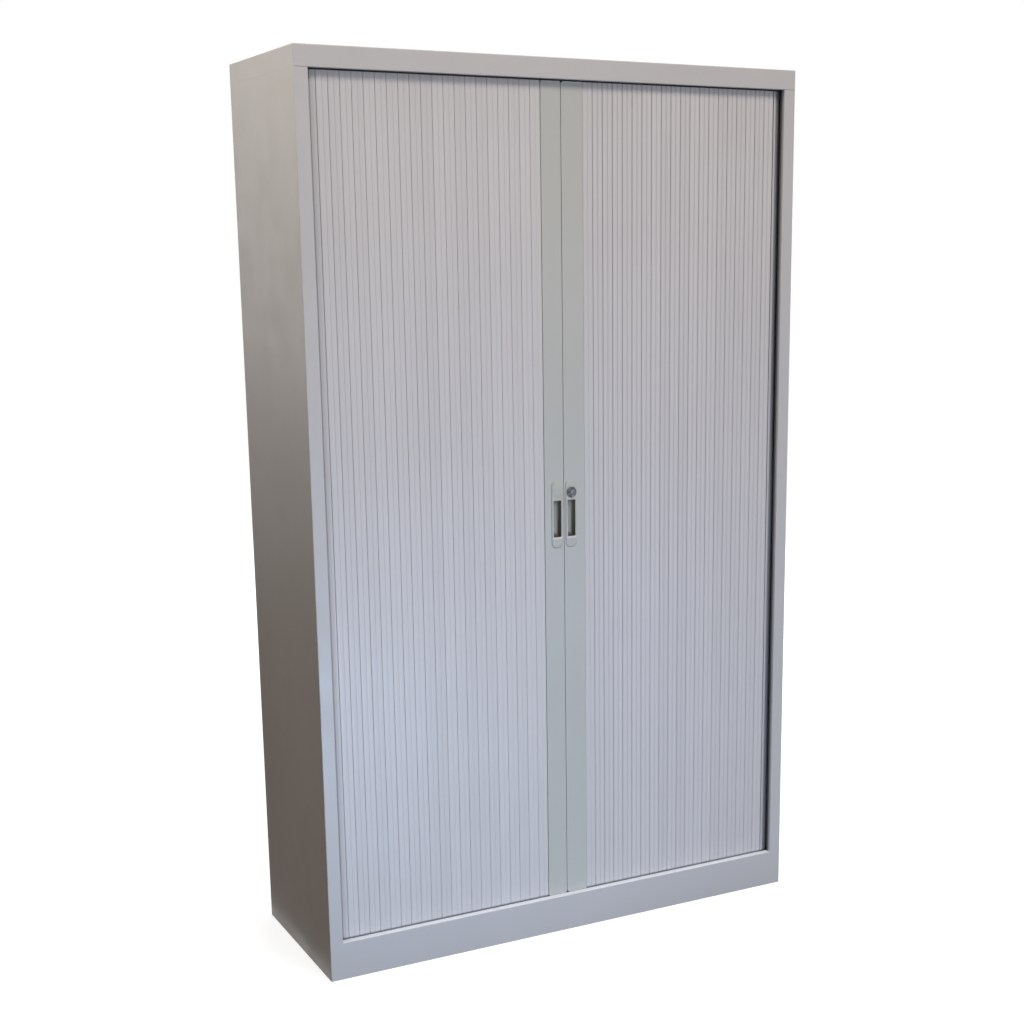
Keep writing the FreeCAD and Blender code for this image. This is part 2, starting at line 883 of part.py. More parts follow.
# Leading stiles: folded strips, the right one laps over a step in the left one
lap_x = "(meeting_gap / 2)"
lap_end = "(meeting_gap / 2 + lap_width)"
step_end = "(lap_width - meeting_gap / 2)"
step_front = f"({stile_front} + stile_wall + lap_clearance)"
left_edge = "-left_stile_edge"
left_stile_corners = [
    (left_edge, stile_front),
    (f"-{lap_x}", stile_front),
    (f"-{lap_x}", step_front),
    (step_end, step_front),
    (step_end, stile_back),
    (f"{step_end} - stile_lip", stile_back),
    (f"{step_end} - stile_lip", f"{stile_back} - stile_wall"),
    (f"{step_end} - stile_wall", f"{stile_back} - stile_wall"),
    (f"{step_end} - stile_wall", f"{step_front} + stile_wall"),
    (f"-{lap_x} - stile_wall", f"{step_front} + stile_wall"),
    (f"-{lap_x} - stile_wall", f"{stile_front} + stile_wall"),
    (f"{left_edge} + stile_wall", f"{stile_front} + stile_wall"),
    (f"{left_edge} + stile_wall", f"{stile_back} - stile_wall"),
    (f"{left_edge} + stile_lip", f"{stile_back} - stile_wall"),
    (f"{left_edge} + stile_lip", stile_back),
    (left_edge, stile_back),
]
right_edge = "right_stile_edge"
right_stile_corners = [
    (lap_x, stile_front),
    (right_edge, stile_front),
    (right_edge, stile_back),
    (f"{right_edge} - stile_lip", stile_back),
    (f"{right_edge} - stile_lip", f"{stile_back} - stile_wall"),
    (f"{right_edge} - stile_wall", f"{stile_back} - stile_wall"),
    (f"{right_edge} - stile_wall", f"{stile_front} + stile_wall"),
    (f"{lap_end} + stile_wall", f"{stile_front} + stile_wall"),
    (f"{lap_end} + stile_wall", f"{stile_back} - stile_wall"),
    (f"{lap_end} + stile_lip", f"{stile_back} - stile_wall"),
    (f"{lap_end} + stile_lip", stile_back),
    (lap_end, stile_back),
    (lap_end, f"{stile_front} + stile_wall"),
    (lap_x, f"{stile_front} + stile_wall"),
]
recess_low = "(pull_level + recess_rise)"
recess_high = "(pull_level + recess_rise + recess_length)"
hook_low = f"({lock_level} - slot_below)"
hook_high = f"({lock_level} + slot_above)"
hook_front = f"({cam_front} - slot_side)"
hook_back = f"({cam_front} + cam_thickness + slot_side)"


def pull_middle(sign):
    """Middle of a pull, counted from the meeting line."""
    return f"{sign} * (pull_inset + pull_width / 2)"


def recess_outline(sign, border):
    """The finger recess from the front, made larger all round by a border."""
    middle = pull_middle(sign)
    return box_outline(
        f"{middle} - recess_width / 2 - {border}",
        f"{middle} + recess_width / 2 + {border}",
        f"{recess_low} - {border}",
        f"{recess_high} + {border}",
    )


def stile(label, sign, corners, wall_low, wall_high):
    """A stile with its cut-out for the pull and a slot for the hook in its meeting wall."""
    body = new_body(label)
    grow(body, "XY_Plane", stile_bottom, f"{stile_top} - {stile_bottom}", [corners])
    face = value(stile_front)
    length = value(f"{stile_top} - {stile_bottom}")
    round_edges(
        body,
        "stile_fold",
        lambda edge: is_close(edge.CenterOfMass.y, face) and is_close(edge_span(edge)[2], length),
    )
    holes = [(pull_middle(sign), lock_level, "barrel_radius")] if sign > 0 else []
    face_cut = recess_outline(sign, "(recess_wall + cutout_clearance)")
    start = f"{stile_front} - overrun"
    cut(body, "XZ_Plane", start, "stile_wall + 2 * overrun", [face_cut], holes)
    slot = box_outline(hook_front, hook_back, hook_low, hook_high)
    cut(body, "YZ_Plane", wall_low, f"{wall_high} - ({wall_low})", [slot])


stile("left_stile", -1, left_stile_corners, f"{step_end} - 1.5 * stile_wall", f"{step_end} + overrun")
stile("right_stile", 1, right_stile_corners, f"{lap_end} - stile_wall / 2", f"{lap_end} + 1.5 * stile_wall")


# Glides: plastic plugs in both ends of a stile, with a tongue that runs in the track
def glides(label, low_x, high_x):
    """A bottom and a top plug between the stile's walls."""
    body = new_body(label)
    inner_front = f"({slat_plane} - groove_width / 2 + glide_clearance)"
    inner_back = f"({slat_plane} + groove_width / 2 - glide_clearance)"
    plug_front = f"({step_front} + stile_wall + glide_clearance)"
    plug_back = f"({stile_back} - stile_wall - glide_clearance)"
    plug = box_outline(low_x, high_x, plug_front, plug_back)
    tongue = box_outline(low_x, high_x, inner_front, inner_back)
    grow(body, "XY_Plane", stile_bottom, "glide_body", [plug])
    grow(body, "XY_Plane", slat_bottom, f"{stile_bottom} - {slat_bottom}", [tongue])
    grow(body, "XY_Plane", f"{stile_top} - glide_body", "glide_body", [plug])
    grow(body, "XY_Plane", stile_top, f"{slat_top} - {stile_top}", [tongue])


wall_and_play = "(stile_wall + glide_clearance)"
glides("left_stile_glides", f"{left_edge} + {wall_and_play}", f"-{lap_x} - {wall_and_play}")
glides("right_stile_glides", f"{lap_end} + {wall_and_play}", f"{right_edge} - {wall_and_play}")


# Pulls: plastic plates with rounded ends and a deep finger recess behind
def pull(label, sign):
    """The plate, the recess box behind it, and the recess itself."""
    body = new_body(label)
    middle = pull_middle(sign)
    plate = box_outline(
        f"{middle} - pull_width / 2",
        f"{middle} + pull_width / 2",
        "pull_level",
        "pull_level + pull_height",
    )
    grow(body, "XZ_Plane", pull_face, "pull_thickness", [plate])
    round_edges(body, "pull_corner", lambda edge: is_close(edge_span(edge)[1], value("pull_thickness")))
    round_edges(
        body,
        "pull_edge",
        lambda edge: is_close(edge.CenterOfMass.y, value(pull_face)),
    )
    box = recess_outline(sign, "recess_wall")
    grow(body, "XZ_Plane", stile_front, "recess_depth + recess_wall - pull_thickness", [box])
    if sign < 0:
        pad_front = f"{pull_face} - pad_proud"
        blank = box_outline(
            f"{middle} - pad_width / 2",
            f"{middle} + pad_width / 2",
            "pull_level + pad_rise",
            "pull_level + pad_rise + pad_height",
        )
        grow(body, "XZ_Plane", pad_front, "pad_proud", [blank])
        round_edges(
            body,
            "pad_proud / 2",
            lambda edge: is_close(edge.CenterOfMass.y, value(pad_front)),
        )
    cut(
        body,
        "XZ_Plane",
        f"{pull_face} - overrun",
        "overrun + recess_depth",
        [recess_outline(sign, "0")],
    )
    round_edges(
        body,
        "recess_corner",
        lambda edge: is_close(edge_span(edge)[1], value("recess_depth"))
        and abs(edge.CenterOfMass.x - value(middle)) < value("recess_width"),
    )
    if sign > 0:
        hole = [(middle, lock_level, "barrel_radius")]
        cut(body, "XZ_Plane", f"{pull_face} - overrun", "pull_thickness + 2 * overrun", circles=hole)


pull("left_pull", -1)
pull("right_pull", 1)


# Lock: barrel clamped through pull and stile by a nut, core and hooked cam turn in it
face_start = f"({pull_face} - lock_face_proud)"
barrel_end = f"({stile_front} + barrel_depth)"
lock_barrel = new_body("lock_barrel")
grow(
    lock_barrel,
    "XZ_Plane",
    face_start,
    "lock_face_proud",
    circles=[(lock_x, lock_level, "lock_face_radius")],
)
grow(
    lock_barrel,
    "XZ_Plane",
    pull_face,
    f"{barrel_end} - {pull_face}",
    circles=[(lock_x, lock_level, "barrel_radius")],
)
round_edges(
    lock_barrel,
    "lock_face_proud / 3",
    lambda edge: is_close(edge.CenterOfMass.y, value(face_start)),
)
cut(
    lock_barrel,
    "XZ_Plane",
    f"{face_start} - overrun",
    f"{barrel_end} - {face_start} + 2 * overrun",
    circles=[(lock_x, lock_level, "core_radius + core_clearance")],
)

lock_nut = new_body("lock_nut")
nut_front = f"({stile_front} + stile_wall)"
nut_point = "(lock_nut_half_width * 2 / sqrt(3))"
nut_corners = [
    (f"{lock_x} + {share} * lock_nut_half_width", f"{lock_level} + {rise} * {nut_point}")
    for share, rise in ((0, 1), (1, 0.5), (1, -0.5), (0, -1), (-1, -0.5), (-1, 0.5))
]
grow(lock_nut, "XZ_Plane", nut_front, "lock_nut_thickness", [nut_corners])
cut(
    lock_nut,
    "XZ_Plane",
    f"{nut_front} - overrun",
    "lock_nut_thickness + 2 * overrun",
    circles=[(lock_x, lock_level, "barrel_radius")],
)

lock_core = new_body("lock_core")
core_front = f"({face_start} + core_setback)"
grow(
    lock_core,
    "XZ_Plane",
    core_front,
    f"{cam_front} - {core_front}",
    circles=[(lock_x, lock_level, "core_radius")],
)
grow(
    lock_core,
    "XZ_Plane",
    cam_front,
    "cam_thickness",
    circles=[(lock_x, lock_level, "cam_bore_radius")],
)
keyway = box_outline(
    f"{lock_x} - keyway_width / 2",
    f"{lock_x} + keyway_width / 2",
    f"{lock_level} - keyway_height / 2",
    f"{lock_level} + keyway_height / 2",
)
cut(lock_core, "XZ_Plane", f"{core_front} - overrun", "overrun + keyway_depth", [keyway])
cut(
    lock_core,
    "XZ_Plane",
    f"{cam_front} + cam_thickness - screw_length + screw_head_height",
    "screw_length",
    circles=[(lock_x, lock_level, "screw_radius")],
)

# Cam at rest points up: arm from the axis, barb towards the meeting line
lock_cam = new_body("lock_cam")
cam_tip = f"({lock_level} + cam_length)"
barb_low = f"({cam_tip} - cam_barb_width)"
grow(
    lock_cam,
    "XZ_Plane",
    cam_front,
    "cam_thickness",
    [
        [
            (f"{lock_x} + cam_half_width", f"{lock_level} - cam_bore_radius * 2"),
            (f"{lock_x} + cam_half_width", cam_tip),
            (f"{lock_x} - cam_barb", cam_tip),
            (f"{lock_x} - cam_barb", barb_low),
            (f"{lock_x} - cam_half_width", barb_low),
            (f"{lock_x} - cam_half_width", f"{lock_level} - cam_bore_radius * 2"),
        ]
    ],
)
cut(
    lock_cam,
    "XZ_Plane",
    f"{cam_front} - overrun",
    "cam_thickness + 2 * overrun",
    circles=[(lock_x, lock_level, "cam_bore_radius")],
)

cam_screw = new_body("cam_screw")
screw_seat = f"({cam_front} + cam_thickness)"
grow(
    cam_screw,
    "XZ_Plane",
    screw_seat,
    "screw_head_height",
    circles=[(lock_x, lock_level, "screw_head_radius")],
)
grow(
    cam_screw,
    "XZ_Plane",
    f"{screw_seat} - screw_length + screw_head_height",
    "screw_length - screw_head_height",
    circles=[(lock_x, lock_level, "screw_radius")],
)

# Keeper: slotted plate behind the left stile's meeting wall
lock_keeper = new_body("lock_keeper")
keeper_face = f"({step_end} - stile_wall)"
keeper_middle = f"({cam_front} + cam_thickness / 2)"
grow(
    lock_keeper,
    "YZ_Plane",
    f"{keeper_face} - keeper_thickness",
    "keeper_thickness",
    [
        box_outline(
            f"{keeper_middle} - keeper_half_width",
            f"{stile_back} - stile_wall",
            f"{hook_low} - keeper_border",
            f"{hook_high} + keeper_border",
        )
    ],
)
cut(
    lock_keeper,
    "YZ_Plane",
    f"{keeper_face} - keeper_thickness - overrun",
    "keeper_thickness + 2 * overrun",
    [box_outline(hook_front, hook_back, hook_low, hook_high)],
)


# Levelling feet: pad, stud that turns in it, and weld nut under the pan
pad_top = "(pad_lift + foot_pad_height)"
stud_low = "(pad_lift + pad_floor)"
collar_low = f"({pad_top} + cam_gap)"
stud_length = f"(plinth_height - stud_top_gap - {stud_low})"
foot_nuts = new_body("foot_nuts")
nut_top = f"({pan_level} - steel)"
grow(
    foot_nuts,
    "XY_Plane",
    f"{nut_top} - nut_height",
    "nut_height",
    [
        box_outline(
            f"{x} - nut_half_width",
            f"{x} + nut_half_width",
            f"{y} - nut_half_width",
            f"{y} + nut_half_width",
        )
        for x, y in foot_places.values()
    ],
    [(x, y, "stud_radius + stud_clearance") for x, y in foot_places.values()],
)
for place, (x, y) in foot_places.items():
    pad = new_body(f"foot_pad_{place}")
    grow(pad, "XY_Plane", "pad_lift", "foot_pad_height", circles=[(x, y, "pad_radius")])
    cut(
        pad,
        "XY_Plane",
        stud_low,
        "foot_pad_height",
        circles=[(x, y, "stud_radius + stud_clearance")],
    )
    stud = new_body(f"foot_stud_{place}")
    grow(stud, "XY_Plane", stud_low, stud_length, circles=[(x, y, "stud_radius")])
    grow(stud, "XY_Plane", collar_low, "stud_collar_height", circles=[(x, y, "stud_collar_radius")])


# Build, look for failed objects, then write every part
doc.recompute()
for item in doc.Objects:
    if {"Invalid", "Error"} & set(item.State):
        raise RuntimeError(f"{item.Label} ({item.Name}) failed: {item.State}")
for item in doc.Objects:
    if item.TypeId == "PartDesign::Pocket":
        if not item.Shape.Volume < item.BaseFeature.Shape.Volume:
            raise RuntimeError(f"{item.Name} in {item.getParentGeoFeatureGroup().Label} cuts nothing")
for label, part in parts.items():
    if part.Shape.isNull() or not part.Shape.isValid() or not part.Shape.Solids:
        raise RuntimeError(f"{label} has no valid shape")
for label, part in parts.items():
    part.Shape.exportStep(f"parts/{label}.step")
    print(label, len(part.Shape.Solids), round(part.Shape.Volume))
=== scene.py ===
from math import pi, radians

import bmesh
import bpy
import numpy as np
from mathutils import Euler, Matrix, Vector


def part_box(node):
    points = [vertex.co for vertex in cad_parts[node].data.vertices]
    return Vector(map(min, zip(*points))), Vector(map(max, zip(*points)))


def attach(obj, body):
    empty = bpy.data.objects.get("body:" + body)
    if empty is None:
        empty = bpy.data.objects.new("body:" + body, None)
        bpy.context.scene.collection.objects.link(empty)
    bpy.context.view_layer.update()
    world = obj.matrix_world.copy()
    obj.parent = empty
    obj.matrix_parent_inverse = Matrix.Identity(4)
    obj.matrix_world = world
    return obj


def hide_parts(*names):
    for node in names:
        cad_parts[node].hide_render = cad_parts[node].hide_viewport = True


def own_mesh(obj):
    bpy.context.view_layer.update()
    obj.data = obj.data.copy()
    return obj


# Tall steel cupboard with two roll fronts. Lengths are in metres, x to the right,
# y to the back and z up, with the origin on the floor under the middle of the cupboard.
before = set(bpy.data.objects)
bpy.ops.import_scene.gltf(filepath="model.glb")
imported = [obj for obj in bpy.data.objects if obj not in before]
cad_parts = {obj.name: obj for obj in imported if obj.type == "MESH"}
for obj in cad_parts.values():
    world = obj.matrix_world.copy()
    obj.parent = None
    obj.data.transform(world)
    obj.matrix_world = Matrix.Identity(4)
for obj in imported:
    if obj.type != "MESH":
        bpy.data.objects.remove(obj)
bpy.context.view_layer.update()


# Camera: stands left of the cupboard at the height of an eye, looks slightly down, and its
# view is shifted so that the cupboard sits in the square picture as it does in the photo.
camera_data = bpy.data.cameras.new("camera")
camera_data.sensor_width = 36
camera_data.lens = 57.2
camera_data.shift_x = -0.0726
camera_data.shift_y = 0.0901
camera = bpy.data.objects.new("camera", camera_data)
camera.location = (-1.684, -3.4255, 1.5869)
camera.rotation_euler = Euler((radians(77.615), radians(0.317), radians(-28.387)), "XYZ")
bpy.context.scene.collection.objects.link(camera)
bpy.context.scene.camera = camera


# Floor: a plain pale sheet, white where the camera looks at it directly or in a reflection,
# and a middle grey for the light that it throws back onto the cupboard.
def node_of(material, kind, **settings):
    """A new node of a material or the world, with some of its properties set."""
    node = material.node_tree.nodes.new(kind)
    for name, setting in settings.items():
        setattr(node, name, setting)
    return node


def feed(material, source, node, socket):
    """Join a value, a colour or another node's output to one input."""
    if isinstance(source, bpy.types.NodeSocket):
        material.node_tree.links.new(source, node.inputs[socket])
    else:
        node.inputs[socket].default_value = source


def ramp(material, source, low, high, low_value=0.0, high_value=1.0):
    """Straight line from low_value at low to high_value at high, level outside."""
    node = node_of(material, "ShaderNodeMapRange", clamp=True)
    for socket, number in zip(
        ("Value", "From Min", "From Max", "To Min", "To Max"),
        (source, low, high, low_value, high_value),
    ):
        feed(material, number, node, socket)
    return node.outputs["Result"]


def sums(material, operation, first, second=0.0, third=0.0):
    """One sum, product or comparison of two or three values."""
    node = node_of(material, "ShaderNodeMath", operation=operation)
    for socket, source in enumerate((first, second, third)):
        feed(material, source, node, socket)
    return node.outputs[0]


def eye_rays(material):
    """1 for rays from the camera: straight, through glass or off a gloss. 0 for all others."""
    rays = node_of(material, "ShaderNodeLightPath").outputs
    straight = sums(material, "MAXIMUM", rays["Is Camera Ray"], rays["Is Transmission Ray"])
    return sums(material, "MAXIMUM", straight, rays["Is Glossy Ray"])


def floor_finish():
    """Grey to the light that bounces off it. To the eye a pale sheet with a glow that grows
    from the cupboard outwards, so that the shadow stays and the far floor is white."""
    material = bpy.data.materials.new("pale_floor")
    material.use_nodes = True
    material.node_tree.nodes.clear()
    place = node_of(material, "ShaderNodeTexCoord").outputs["Object"]
    away = node_of(material, "ShaderNodeVectorMath", operation="LENGTH")
    feed(material, place, away, 0)
    glow = node_of(material, "ShaderNodeEmission")
    feed(material, (1, 1, 1, 1), glow, "Color")
    feed(material, ramp(material, away.outputs["Value"], 0.8, 3.0, 0.8, 0.93), glow, "Strength")
    pale = node_of(material, "ShaderNodeBsdfDiffuse")
    feed(material, (0.4, 0.4, 0.4, 1), pale, "Color")
    white = node_of(material, "ShaderNodeAddShader")
    feed(material, pale.outputs[0], white, 0)
    feed(material, glow.outputs[0], white, 1)
    grey = node_of(material, "ShaderNodeBsdfDiffuse")
    feed(material, (0.12, 0.1, 0.09, 1), grey, "Color")
    mix = node_of(material, "ShaderNodeMixShader")
    for socket, source in enumerate((eye_rays(material), grey.outputs[0], white.outputs[0])):
        feed(material, source, mix, socket)
    feed(material, mix.outputs[0], node_of(material, "ShaderNodeOutputMaterial"), "Surface")
    return material


floor_mesh = bpy.data.meshes.new("floor")
floor_mesh.from_pydata([(-9, -9, 0), (9, -9, 0), (9, 9, 0), (-9, 9, 0)], [], [(0, 1, 2, 3)])
floor_mesh.materials.append(floor_finish())
floor = bpy.data.objects.new("floor", floor_mesh)
bpy.context.scene.collection.objects.link(floor)


# Room light: a dim even sky for the light, which is plain white where the camera or a gloss
# looks at it. A ceiling lamp in front throws the shadow under the fascia, two cool lamps
# fill the front from low down, a small one high on the left lets that side fade towards
# the floor, and one each stands to the right and behind.
world = bpy.data.worlds.new("room")
world.use_nodes = True
world.node_tree.nodes.clear()
sky_seen = node_of(world, "ShaderNodeBackground")
feed(world, (1, 1, 1, 1), sky_seen, "Color")
feed(world, 1.0, sky_seen, "Strength")
sky_light = node_of(world, "ShaderNodeBackground")
feed(world, (1.0, 0.985, 0.97, 1), sky_light, "Color")
feed(world, 0.17, sky_light, "Strength")
sky_mix = node_of(world, "ShaderNodeMixShader")
for socket, source in enumerate((eye_rays(world), sky_light.outputs[0], sky_seen.outputs[0])):
    feed(world, source, sky_mix, socket)
feed(world, sky_mix.outputs[0], node_of(world, "ShaderNodeOutputWorld"), "Surface")
bpy.context.scene.world = world
bpy.context.scene.view_settings.view_transform = "Standard"


def soft_lamp(name, place, aim, width, height, power, colour, in_gloss=True):
    """A rectangular lamp at a place, turned to face the point it is aimed at. The lamp
    behind is kept out of the gloss, or it would blow out the top."""
    data = bpy.data.lights.new(name, "AREA")
    data.shape = "RECTANGLE"
    data.size = width
    data.size_y = height
    data.energy = power
    data.color = colour
    lamp = bpy.data.objects.new(name, data)
    lamp.location = place
    lamp.rotation_euler = (Vector(aim) - Vector(place)).to_track_quat("-Z", "Y").to_euler()
    lamp.visible_camera = False
    lamp.visible_glossy = in_gloss
    bpy.context.scene.collection.objects.link(lamp)


soft_lamp("ceiling_lamp", (0.8, -3.5, 4.9), (0.0, -0.2, 1.3), 2.2, 1.5, 141, (1.0, 0.94, 0.89))
soft_lamp("front_lamp", (0.8, -5.2, 1.4), (0.0, 0.0, 1.0), 3.0, 2.0, 33, (1.0, 0.98, 0.975))
soft_lamp("low_lamp", (-0.3, -2.0, 0.14), (-0.7, 0.0, 0.08), 0.54, 0.3, 19, (0.44, 0.66, 1.0))
soft_lamp("low_right_lamp", (0.9, -2.2, 0.45), (0.4, 0.0, 0.5), 0.8, 0.4, 5, (0.24, 0.48, 1.0))
soft_lamp("side_lamp", (-1.7, -0.2, 2.8), (-0.6, 0.0, 1.85), 0.8, 0.8, 18.5, (1.0, 0.95, 0.88))
soft_lamp("right_lamp", (4.6, 0.6, 2.2), (0.6, 0.0, 1.0), 2.0, 2.0, 110, (1.0, 0.985, 0.97))
soft_lamp("back_lamp", (1.7, 4.8, 2.4), (0.0, 0.2, 1.0), 2.4, 2.0, 120, (1.0, 0.985, 0.97), False)


# Side board: a dark board that stands left of the cupboard outside the picture, with a foot
# along the floor. Only the gloss of the left side sees it, as the dark room that lies there
# and the brown floor in front of it.
board_mesh = bpy.data.meshes.new("side_board")
board_line = ((-1.6, 1.07), (-1.6, 0.004), (-0.628, 0.004))
board_mesh.from_pydata(
    [(x, y, z) for y in (-1.2, 4.5) for x, z in board_line], [], [(0, 1, 4, 3), (1, 2, 5, 4)]
)
board_colours = {"board_paint": (0.055, 0.04, 0.033, 1), "foot_paint": (0.30, 0.20, 0.165, 1)}
for label, colour in board_colours.items():
    board_paint = bpy.data.materials.new(label)
    board_paint.use_nodes = True
    board_shader = board_paint.node_tree.nodes["Principled BSDF"]
    board_shader.inputs["Base Color"].default_value = colour
    board_shader.inputs["Roughness"].default_value = 1.0
    board_mesh.materials.append(board_paint)
board_mesh.polygons[1].material_index = 1
board = bpy.data.objects.new("side_board", board_mesh)
board.visible_camera = False
board.visible_diffuse = False
board.visible_shadow = False
bpy.context.scene.collection.objects.link(board)


# Painted carcass: sides, top tray, plinths and back sheet, all 1 mm steel, folded and
# powder coated light warm grey. The coat has a fine orange peel, thin spots on the folds
# and light scuffs low down where shoes and trolleys touch it.
def grain(material, place, scale, detail=2.0, roughness=0.5):
    """Cloudy noise of a scale in spots per metre, with a mean of one half."""
    node = node_of(material, "ShaderNodeTexNoise")
    feed(material, place, node, "Vector")
    node.inputs["Scale"].default_value = scale
    node.inputs["Detail"].default_value = detail
    node.inputs["Roughness"].default_value = roughness
    return node.outputs["Fac"]


def blend_colour(material, share, first, second):
    """Colour that goes from first to second as the share goes from 0 to 1."""
    node = node_of(material, "ShaderNodeMix", data_type="RGBA")
    for socket, source in ((0, share), (6, first), (7, second)):
        feed(material, source, node, socket)
    return node.outputs[2]


def stretched(material, source, scale):
    """The place multiplied along each axis, to draw a pattern out or press it together."""
    node = node_of(material, "ShaderNodeMapping")
    feed(material, source, node, "Vector")
    node.inputs["Scale"].default_value = scale
    return node.outputs[0]


def height_bump(material, height, strength, distance, below=None):
    """Small relief from a height, laid over another relief where one is given."""
    node = node_of(material, "ShaderNodeBump")
    node.inputs["Strength"].default_value = strength
    node.inputs["Distance"].default_value = distance
    feed(material, height, node, "Height")
    if below is not None:
        feed(material, below, node, "Normal")
    return node.outputs[0]


def new_finish(name):
    """An empty finish with its shader, and the place on the object that patterns read."""
    material = bpy.data.materials.new(name)
    material.use_nodes = True
    shader = material.node_tree.nodes["Principled BSDF"]
    place = node_of(material, "ShaderNodeTexCoord").outputs["Object"]
    return material, shader, place


def fold_wear(material, radius):
    """Near 1 on folds and edges, 0 on flats: how far a rounded normal leans off the real one."""
    rounded = node_of(material, "ShaderNodeBevel", samples=4)
    rounded.inputs["Radius"].default_value = radius
    real = node_of(material, "ShaderNodeNewGeometry").outputs["True Normal"]
    lean = node_of(material, "ShaderNodeVectorMath", operation="DOT_PRODUCT")
    feed(material, rounded.outputs[0], lean, 0)
    feed(material, real, lean, 1)
    return ramp(material, lean.outputs["Value"], 0.995, 0.80), rounded.outputs[0]


def coated_steel(
    name,
    colour,
    thin_colour,
    peel=0.22,
    scuffs=1.0,
    gloss=0.42,
    folds=True,
    pale=(0.6, 0.6, 0.6, 1),
    top_light_share=0.15,
):
    """Powder coat: cloudy tone, fine specks, thin coat on folds, painted top light as a pale share
    on what faces up, scuffs low on the panel, and painted shade, near black, on the inner face of
    each jamb."""
    material, shader, place = new_finish(name)
    cloud = grain(material, place, 2.3, 3.0)
    specks = grain(material, place, 900.0, 1.0)
    tone = ramp(material, cloud, 0.3, 0.7)
    dark = tuple(0.94 * c for c in colour[:3]) + (1,)
    coat = blend_colour(material, tone, dark, colour)
    coat = blend_colour(
        material,
        ramp(material, specks, 0.62, 0.8, 0.0, 0.35),
        coat,
        tuple(1.12 * c for c in colour[:3]) + (1,),
    )
    rounded = None
    if folds:
        edge, rounded = fold_wear(material, 0.0012)
        patchy = ramp(material, grain(material, place, 55.0, 3.0), 0.45, 0.62)
        wear_and_highlight = sums(material, "MULTIPLY", sums(material, "MULTIPLY", edge, patchy), 0.5)
        coat = blend_colour(material, wear_and_highlight, coat, thin_colour)
    upward = node_of(material, "ShaderNodeSeparateXYZ")
    feed(material, node_of(material, "ShaderNodeNewGeometry").outputs["Normal"], upward, 0)
    # Painted top light: faces that look up are mixed towards the pale colour, as if lit from above.
    painted_top_light = ramp(material, upward.outputs["Z"], 0.6, 0.95, 0.0, top_light_share)
    coat = blend_colour(material, painted_top_light, coat, pale)
    level = node_of(material, "ShaderNodeSeparateXYZ")
    feed(material, place, level, 0)
    low = ramp(material, level.outputs["Z"], 0.16, 0.0)
    marks = grain(material, stretched(material, place, (60.0, 60.0, 260.0)), 1.0, 4.0, 0.6)
    marks = ramp(material, marks, 0.66, 0.72)
    rare = ramp(material, grain(material, place, 9.0, 1.0), 0.52, 0.6)
    scuff = sums(material, "MULTIPLY", sums(material, "MULTIPLY", marks, rare), low)
    scuff = sums(material, "MULTIPLY", scuff, 0.6 * scuffs)
    coat = blend_colour(material, scuff, coat, (0.16, 0.14, 0.12, 1))
    dust = sums(material, "MULTIPLY", sums(material, "MULTIPLY", low, low), 0.16)
    coat = blend_colour(material, dust, coat, (0.3, 0.27, 0.22, 1))
    # Painted shade: the inner face of each jamb goes near black towards its back edge, as the shade
    # in the gap between jamb and curtain.
    outwards = sums(material, "ABSOLUTE", level.outputs["X"])
    jamb_face = sums(material, "COMPARE", outwards, 0.57, 0.0004)
    rubs_and_painted_shade = ramp(material, level.outputs["Y"], -0.2095, -0.2045, 0.0, 0.85)
    rubs_and_painted_shade = sums(material, "MULTIPLY", jamb_face, rubs_and_painted_shade)
    coat = blend_colour(material, rubs_and_painted_shade, coat, (0.03, 0.027, 0.025, 1))
    feed(material, coat, shader, "Base Color")
    haze = grain(material, place, 14.0, 4.0)
    feed(material, ramp(material, haze, 0.3, 0.7, gloss - 0.05, gloss + 0.08), shader, "Roughness")
    sheet = height_bump(material, grain(material, place, 3.1, 1.0), 0.25, 0.004, rounded)
    peel_height = grain(material, place, 620.0, 2.0)
    feed(material, height_bump(material, peel_height, peel, 0.0003, sheet), shader, "Normal")
    return material


def finish_solids(material, *names):
    """Give the solids of these names their finish."""
    for name in names:
        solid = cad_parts[name]
        for slot in solid.material_slots:
            slot.material = material


carcass_colours = ((0.50, 0.472, 0.45, 1), (0.61, 0.59, 0.565, 1))
carcass_coat = coated_steel("carcass_coat", *carcass_colours)
finish_solids(
    carcass_coat,
    "left_side_panel",
    "right_side_panel",
    "top_panel",
    "rear_plinth",
    "back_panel",
)
# Painted highlight: on the front plinth the ledge and every face that looks up take this near
# white, cool colour in full, as the ceiling light falling on them.
ledge_highlight = (0.92, 0.95, 0.98, 1)
plinth_coat = coated_steel("plinth_coat", *carcass_colours, pale=ledge_highlight, top_light_share=1.0)
finish_solids(plinth_coat, "front_plinth")


# Plinth welds: where the plinth meets the two front flanges the groove is filled, ground
# flush and coated over, so that no line shows there.
def closed_skin(name, rings):
    """Mesh of closed bodies from an array of bodies x rings x points x 3: a band of quads
    joins each ring to the next, and one face closes the first ring and the last."""
    bodies, count, points = rings.shape[:3]
    index = np.arange(bodies * count * points).reshape(bodies, count, points)
    here, after = index[:, :-1], index[:, 1:]
    bands = np.stack([here, np.roll(here, -1, 2), np.roll(after, -1, 2), after], -1)
    mesh = bpy.data.meshes.new(name)
    faces = bands.reshape(-1, 4).tolist() + index[:, 0].tolist() + index[:, -1].tolist()
    mesh.from_pydata(rings.reshape(-1, 3).tolist(), [], faces)
    return mesh


